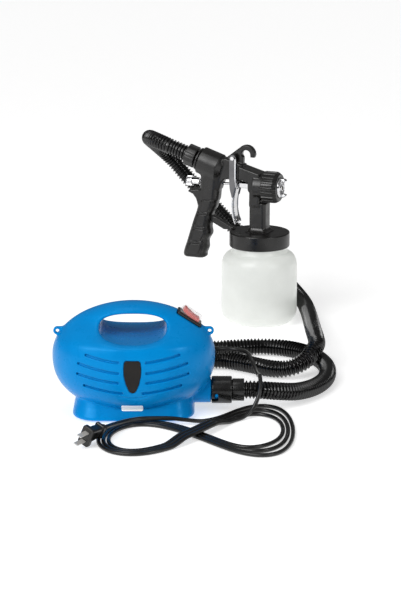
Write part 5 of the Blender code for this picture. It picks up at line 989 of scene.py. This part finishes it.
inside += [(r - CUP_WALL, z) for r, z in outside[18:33]]
inside += [(NECK_RADIUS - CUP_WALL, neck_z + 1), (NECK_RADIUS - CUP_WALL, rim_z)]
piece("cup", *turned(outside + inside[::-1], 96), GUN_FRAME, CUP_WHITE, "paint_cup", "paint_cup", crease=50.0)
lid = [(5.0, 136.5), (42.0, 136.5), (42.0, LID_LOW_Z), (LID_RADIUS, LID_LOW_Z), (LID_RADIUS, LID_TOP_Z)]
lid += [(5.0, LID_TOP_Z)]
piece("lid", *turned(eased(lid, 2.2, 5), 96), GUN_FRAME, BLACK, "set", "cup_lid")


# Trigger: two side arms and a curved finger blade
ARM = arc((0, 0), 5.6, -10, 190, 12) + [(-5.4, -30), (-4.5, -46), (-1, -60), (2.5, -58), (5.6, -46), (5.4, -28)]
BLADE = [(5.4, -37), (4.6, -46), (1.6, -58), (0.2, -68), (0.6, -80), (2.4, -90), (6.0, -99), (3.8, -100.2)]
BLADE += [(0.2, -91), (-1.7, -80), (-2.1, -68), (-0.7, -58), (2.2, -46), (3.0, -37)]


def trigger_parts(u, v, z):
    """The stamped plate with its channels, to be shown in chrome darkened as painted shade, and the raised edges and
    middle rib, in plain chrome.
    """
    arms = plate(outlined(u, z, ARM), np.abs(v) - 11.6, 1.2, 0.5)
    width = np.interp(z, (-100, -92, -60), (12.8, 12.0, 12.8))
    curve = outlined(u, z, eased(BLADE, 4.0))
    core = soft_min(arms, plate(curve + 0.6, v, width, 0.5), 0.8)
    front = np.maximum(np.abs(u - np.interp(z, (-64, -30, 0), (9.6, 4.6, 4.4))) - 1.3, np.abs(z + 32.0) - 31.0)
    flange = soft_max(plate(outlined(u, z, ARM) - 0.2, np.abs(v) - 12.0, 1.3, 0.5), front, 0.5)
    rib = plate(curve, v, np.interp(z, (-100, -60), (5.5, 6.6)), 0.6)
    bead = plate(curve, np.abs(v) - width + 0.8, 0.8, 0.5)
    bright = np.minimum(np.minimum(rib, bead), flange)
    fork = np.maximum(np.abs(v) - 3.4, np.abs(z + 39.0) - 9.0)
    hole = 2.4 - np.hypot(u, z)
    core, bright = [soft_max(soft_max(part, -fork, 0.6), hole, 0.4) for part in (core, bright)]
    return core, bright


# The plate gets chrome darkened as painted shade; the edges and rib get the plain chrome.
for label, index, material, hidden in (("plate", 0, PAINTED_SHADE_CHROME, ("trigger",)), ("edges", 1, CHROME, ())):
    def trigger_field(u, v, z, index=index):
        return trigger_parts(u, v, z)[index]

    shape = net(trigger_field, (-9, -15, -103), (9, 15, 8), 0.6)
    piece(f"trigger_{label}", *shape, PIVOT_FRAME, material, "trigger", *hidden)

# Air cap with two horns, ribbed retaining ring, flow knob and coupling nut
CAP = [(3.1, 36.0), (4.6, 36.0), (5.4, 33.4), (9.4, 32.2), (10.2, 35.0), (12.0, 35.4), (14.6, 33), (14.6, 28.1)]
CAP += [(19.9, 28.1), (19.9, 22.5), (9, 22.5), (7, 29), (3.1, 32)]
HORN = [(9.0, 31.0), (14.2, 31.0), (13.8, 39.0), (12.0, 42.0), (9.8, 42.0), (8.6, 38.0)]


def cap_field(x, y, z):
    made = outlined(np.hypot(x, y), z, eased(CAP, 0.7))
    horns = plate(outlined(np.abs(x), z, eased(HORN, 1.2)), y, 4.0, 1.2)
    made = soft_min(made, horns, 1.2)
    jet = np.hypot(y, (z - 40.0) * 0.8 + (np.abs(x) - 9.0) * 0.6) - 0.7
    made = soft_max(made, -np.maximum(jet, np.abs(x) - 11.5), 0.3)
    around = np.arctan2(y, x)
    port = np.hypot(np.hypot(x, y) - 7.4, 7.4 * ((around + math.pi / 8) % (math.pi / 4) - math.pi / 8)) - 0.8
    return soft_max(made, -np.maximum(port, 30.5 - z), 0.3)


def crenel(angle, count, low, high):
    return float(step(0.5 - 0.5 * math.cos(count * angle), low, high))


def ring_wave(radius, height, angle):
    return radius - (1.7 * crenel(angle, 20, 0.3, 0.6) if radius > 20.5 else 0.0)


def nut_wave(radius, height, angle):
    return radius - (crenel(angle, 7, 0.35, 0.6) if radius > 14.5 else 0.0)


def knob_wave(radius, height, angle):
    return radius - (0.5 * crenel(angle, 26, 0.3, 0.8) if radius > 6.5 else 0.0)


piece("cap", *net(cap_field, (-22, -22, 21), (22, 22, 45), 0.5), NEEDLE_FRAME, CHROME, "air_cap", "air_cap")
ring = [(20.3, 8.0), (23.5, 8.0), (23.5, 26.5), (20.2, 32.0), (15.0, 32.0), (15.0, 28.5), (20.3, 28.5)]
piece("ring", *turned(eased(ring, 1.0, 4), 240, ring_wave), NEEDLE_FRAME, BLACK, "retaining_ring", "retaining_ring")
nut = [(7.45, 1.3), (16.5, 1.3), (16.5, 17.3), (12.4, 17.3), (12.4, 5.0), (7.45, 5.0)]
piece("coupling_nut", *turned(eased(nut, 1.0, 4), 140, nut_wave), INLET_FRAME, BLACK, "inlet_nut", "inlet_nut")
knob = [(0, -116), (7.5, -116), (7.5, -106.5), (3.8, -106.5), (3.8, -96.8), (0, -96.8)]
piece("knob", *turned(eased(knob, 0.7), 156, knob_wave), NEEDLE_FRAME, CHROME, "flow_knob", "flow_knob")

# Finishes of the solids that show as they are
KEPT = {
    BLUE: ("outlet_spout",),
    RUBBER: ("front_mount_ring", "rear_mount_ring"),
    WHITE: ("lid_gasket", "pickup_tube", "needle_packing"),
    STEEL: (
        "fan_case", "fan_back_plate", "impeller", "motor_shaft", "stator", "rear_bracket", "needle_spring",
        "housing_screw_1", "housing_screw_2", "housing_screw_3", "housing_screw_4",
    ),
    CHROME: (
        "front_bearing", "rear_bearing", "needle", "packing_nut", "trigger_pin", "knob_lock_nut",
    ),
    NICKEL: ("plug_blade_1", "plug_blade_2"),
    BRASS: ("fluid_nozzle", "front_brush_holder", "rear_brush_holder"),
    COPPER: ("armature", "front_field_coil", "rear_field_coil"),
    FOAM: ("air_filter",),
}
for material, names in KEPT.items():
    for node_name in names:
        node = frame["nodes"][node_name]
        node.material_slots[0].material = material
        soften = node.modifiers.new("soft_edges", "BEVEL")
        soften.width = 0.25 * MM
        soften.segments = 2
        soften.angle_limit = math.radians(30.0)
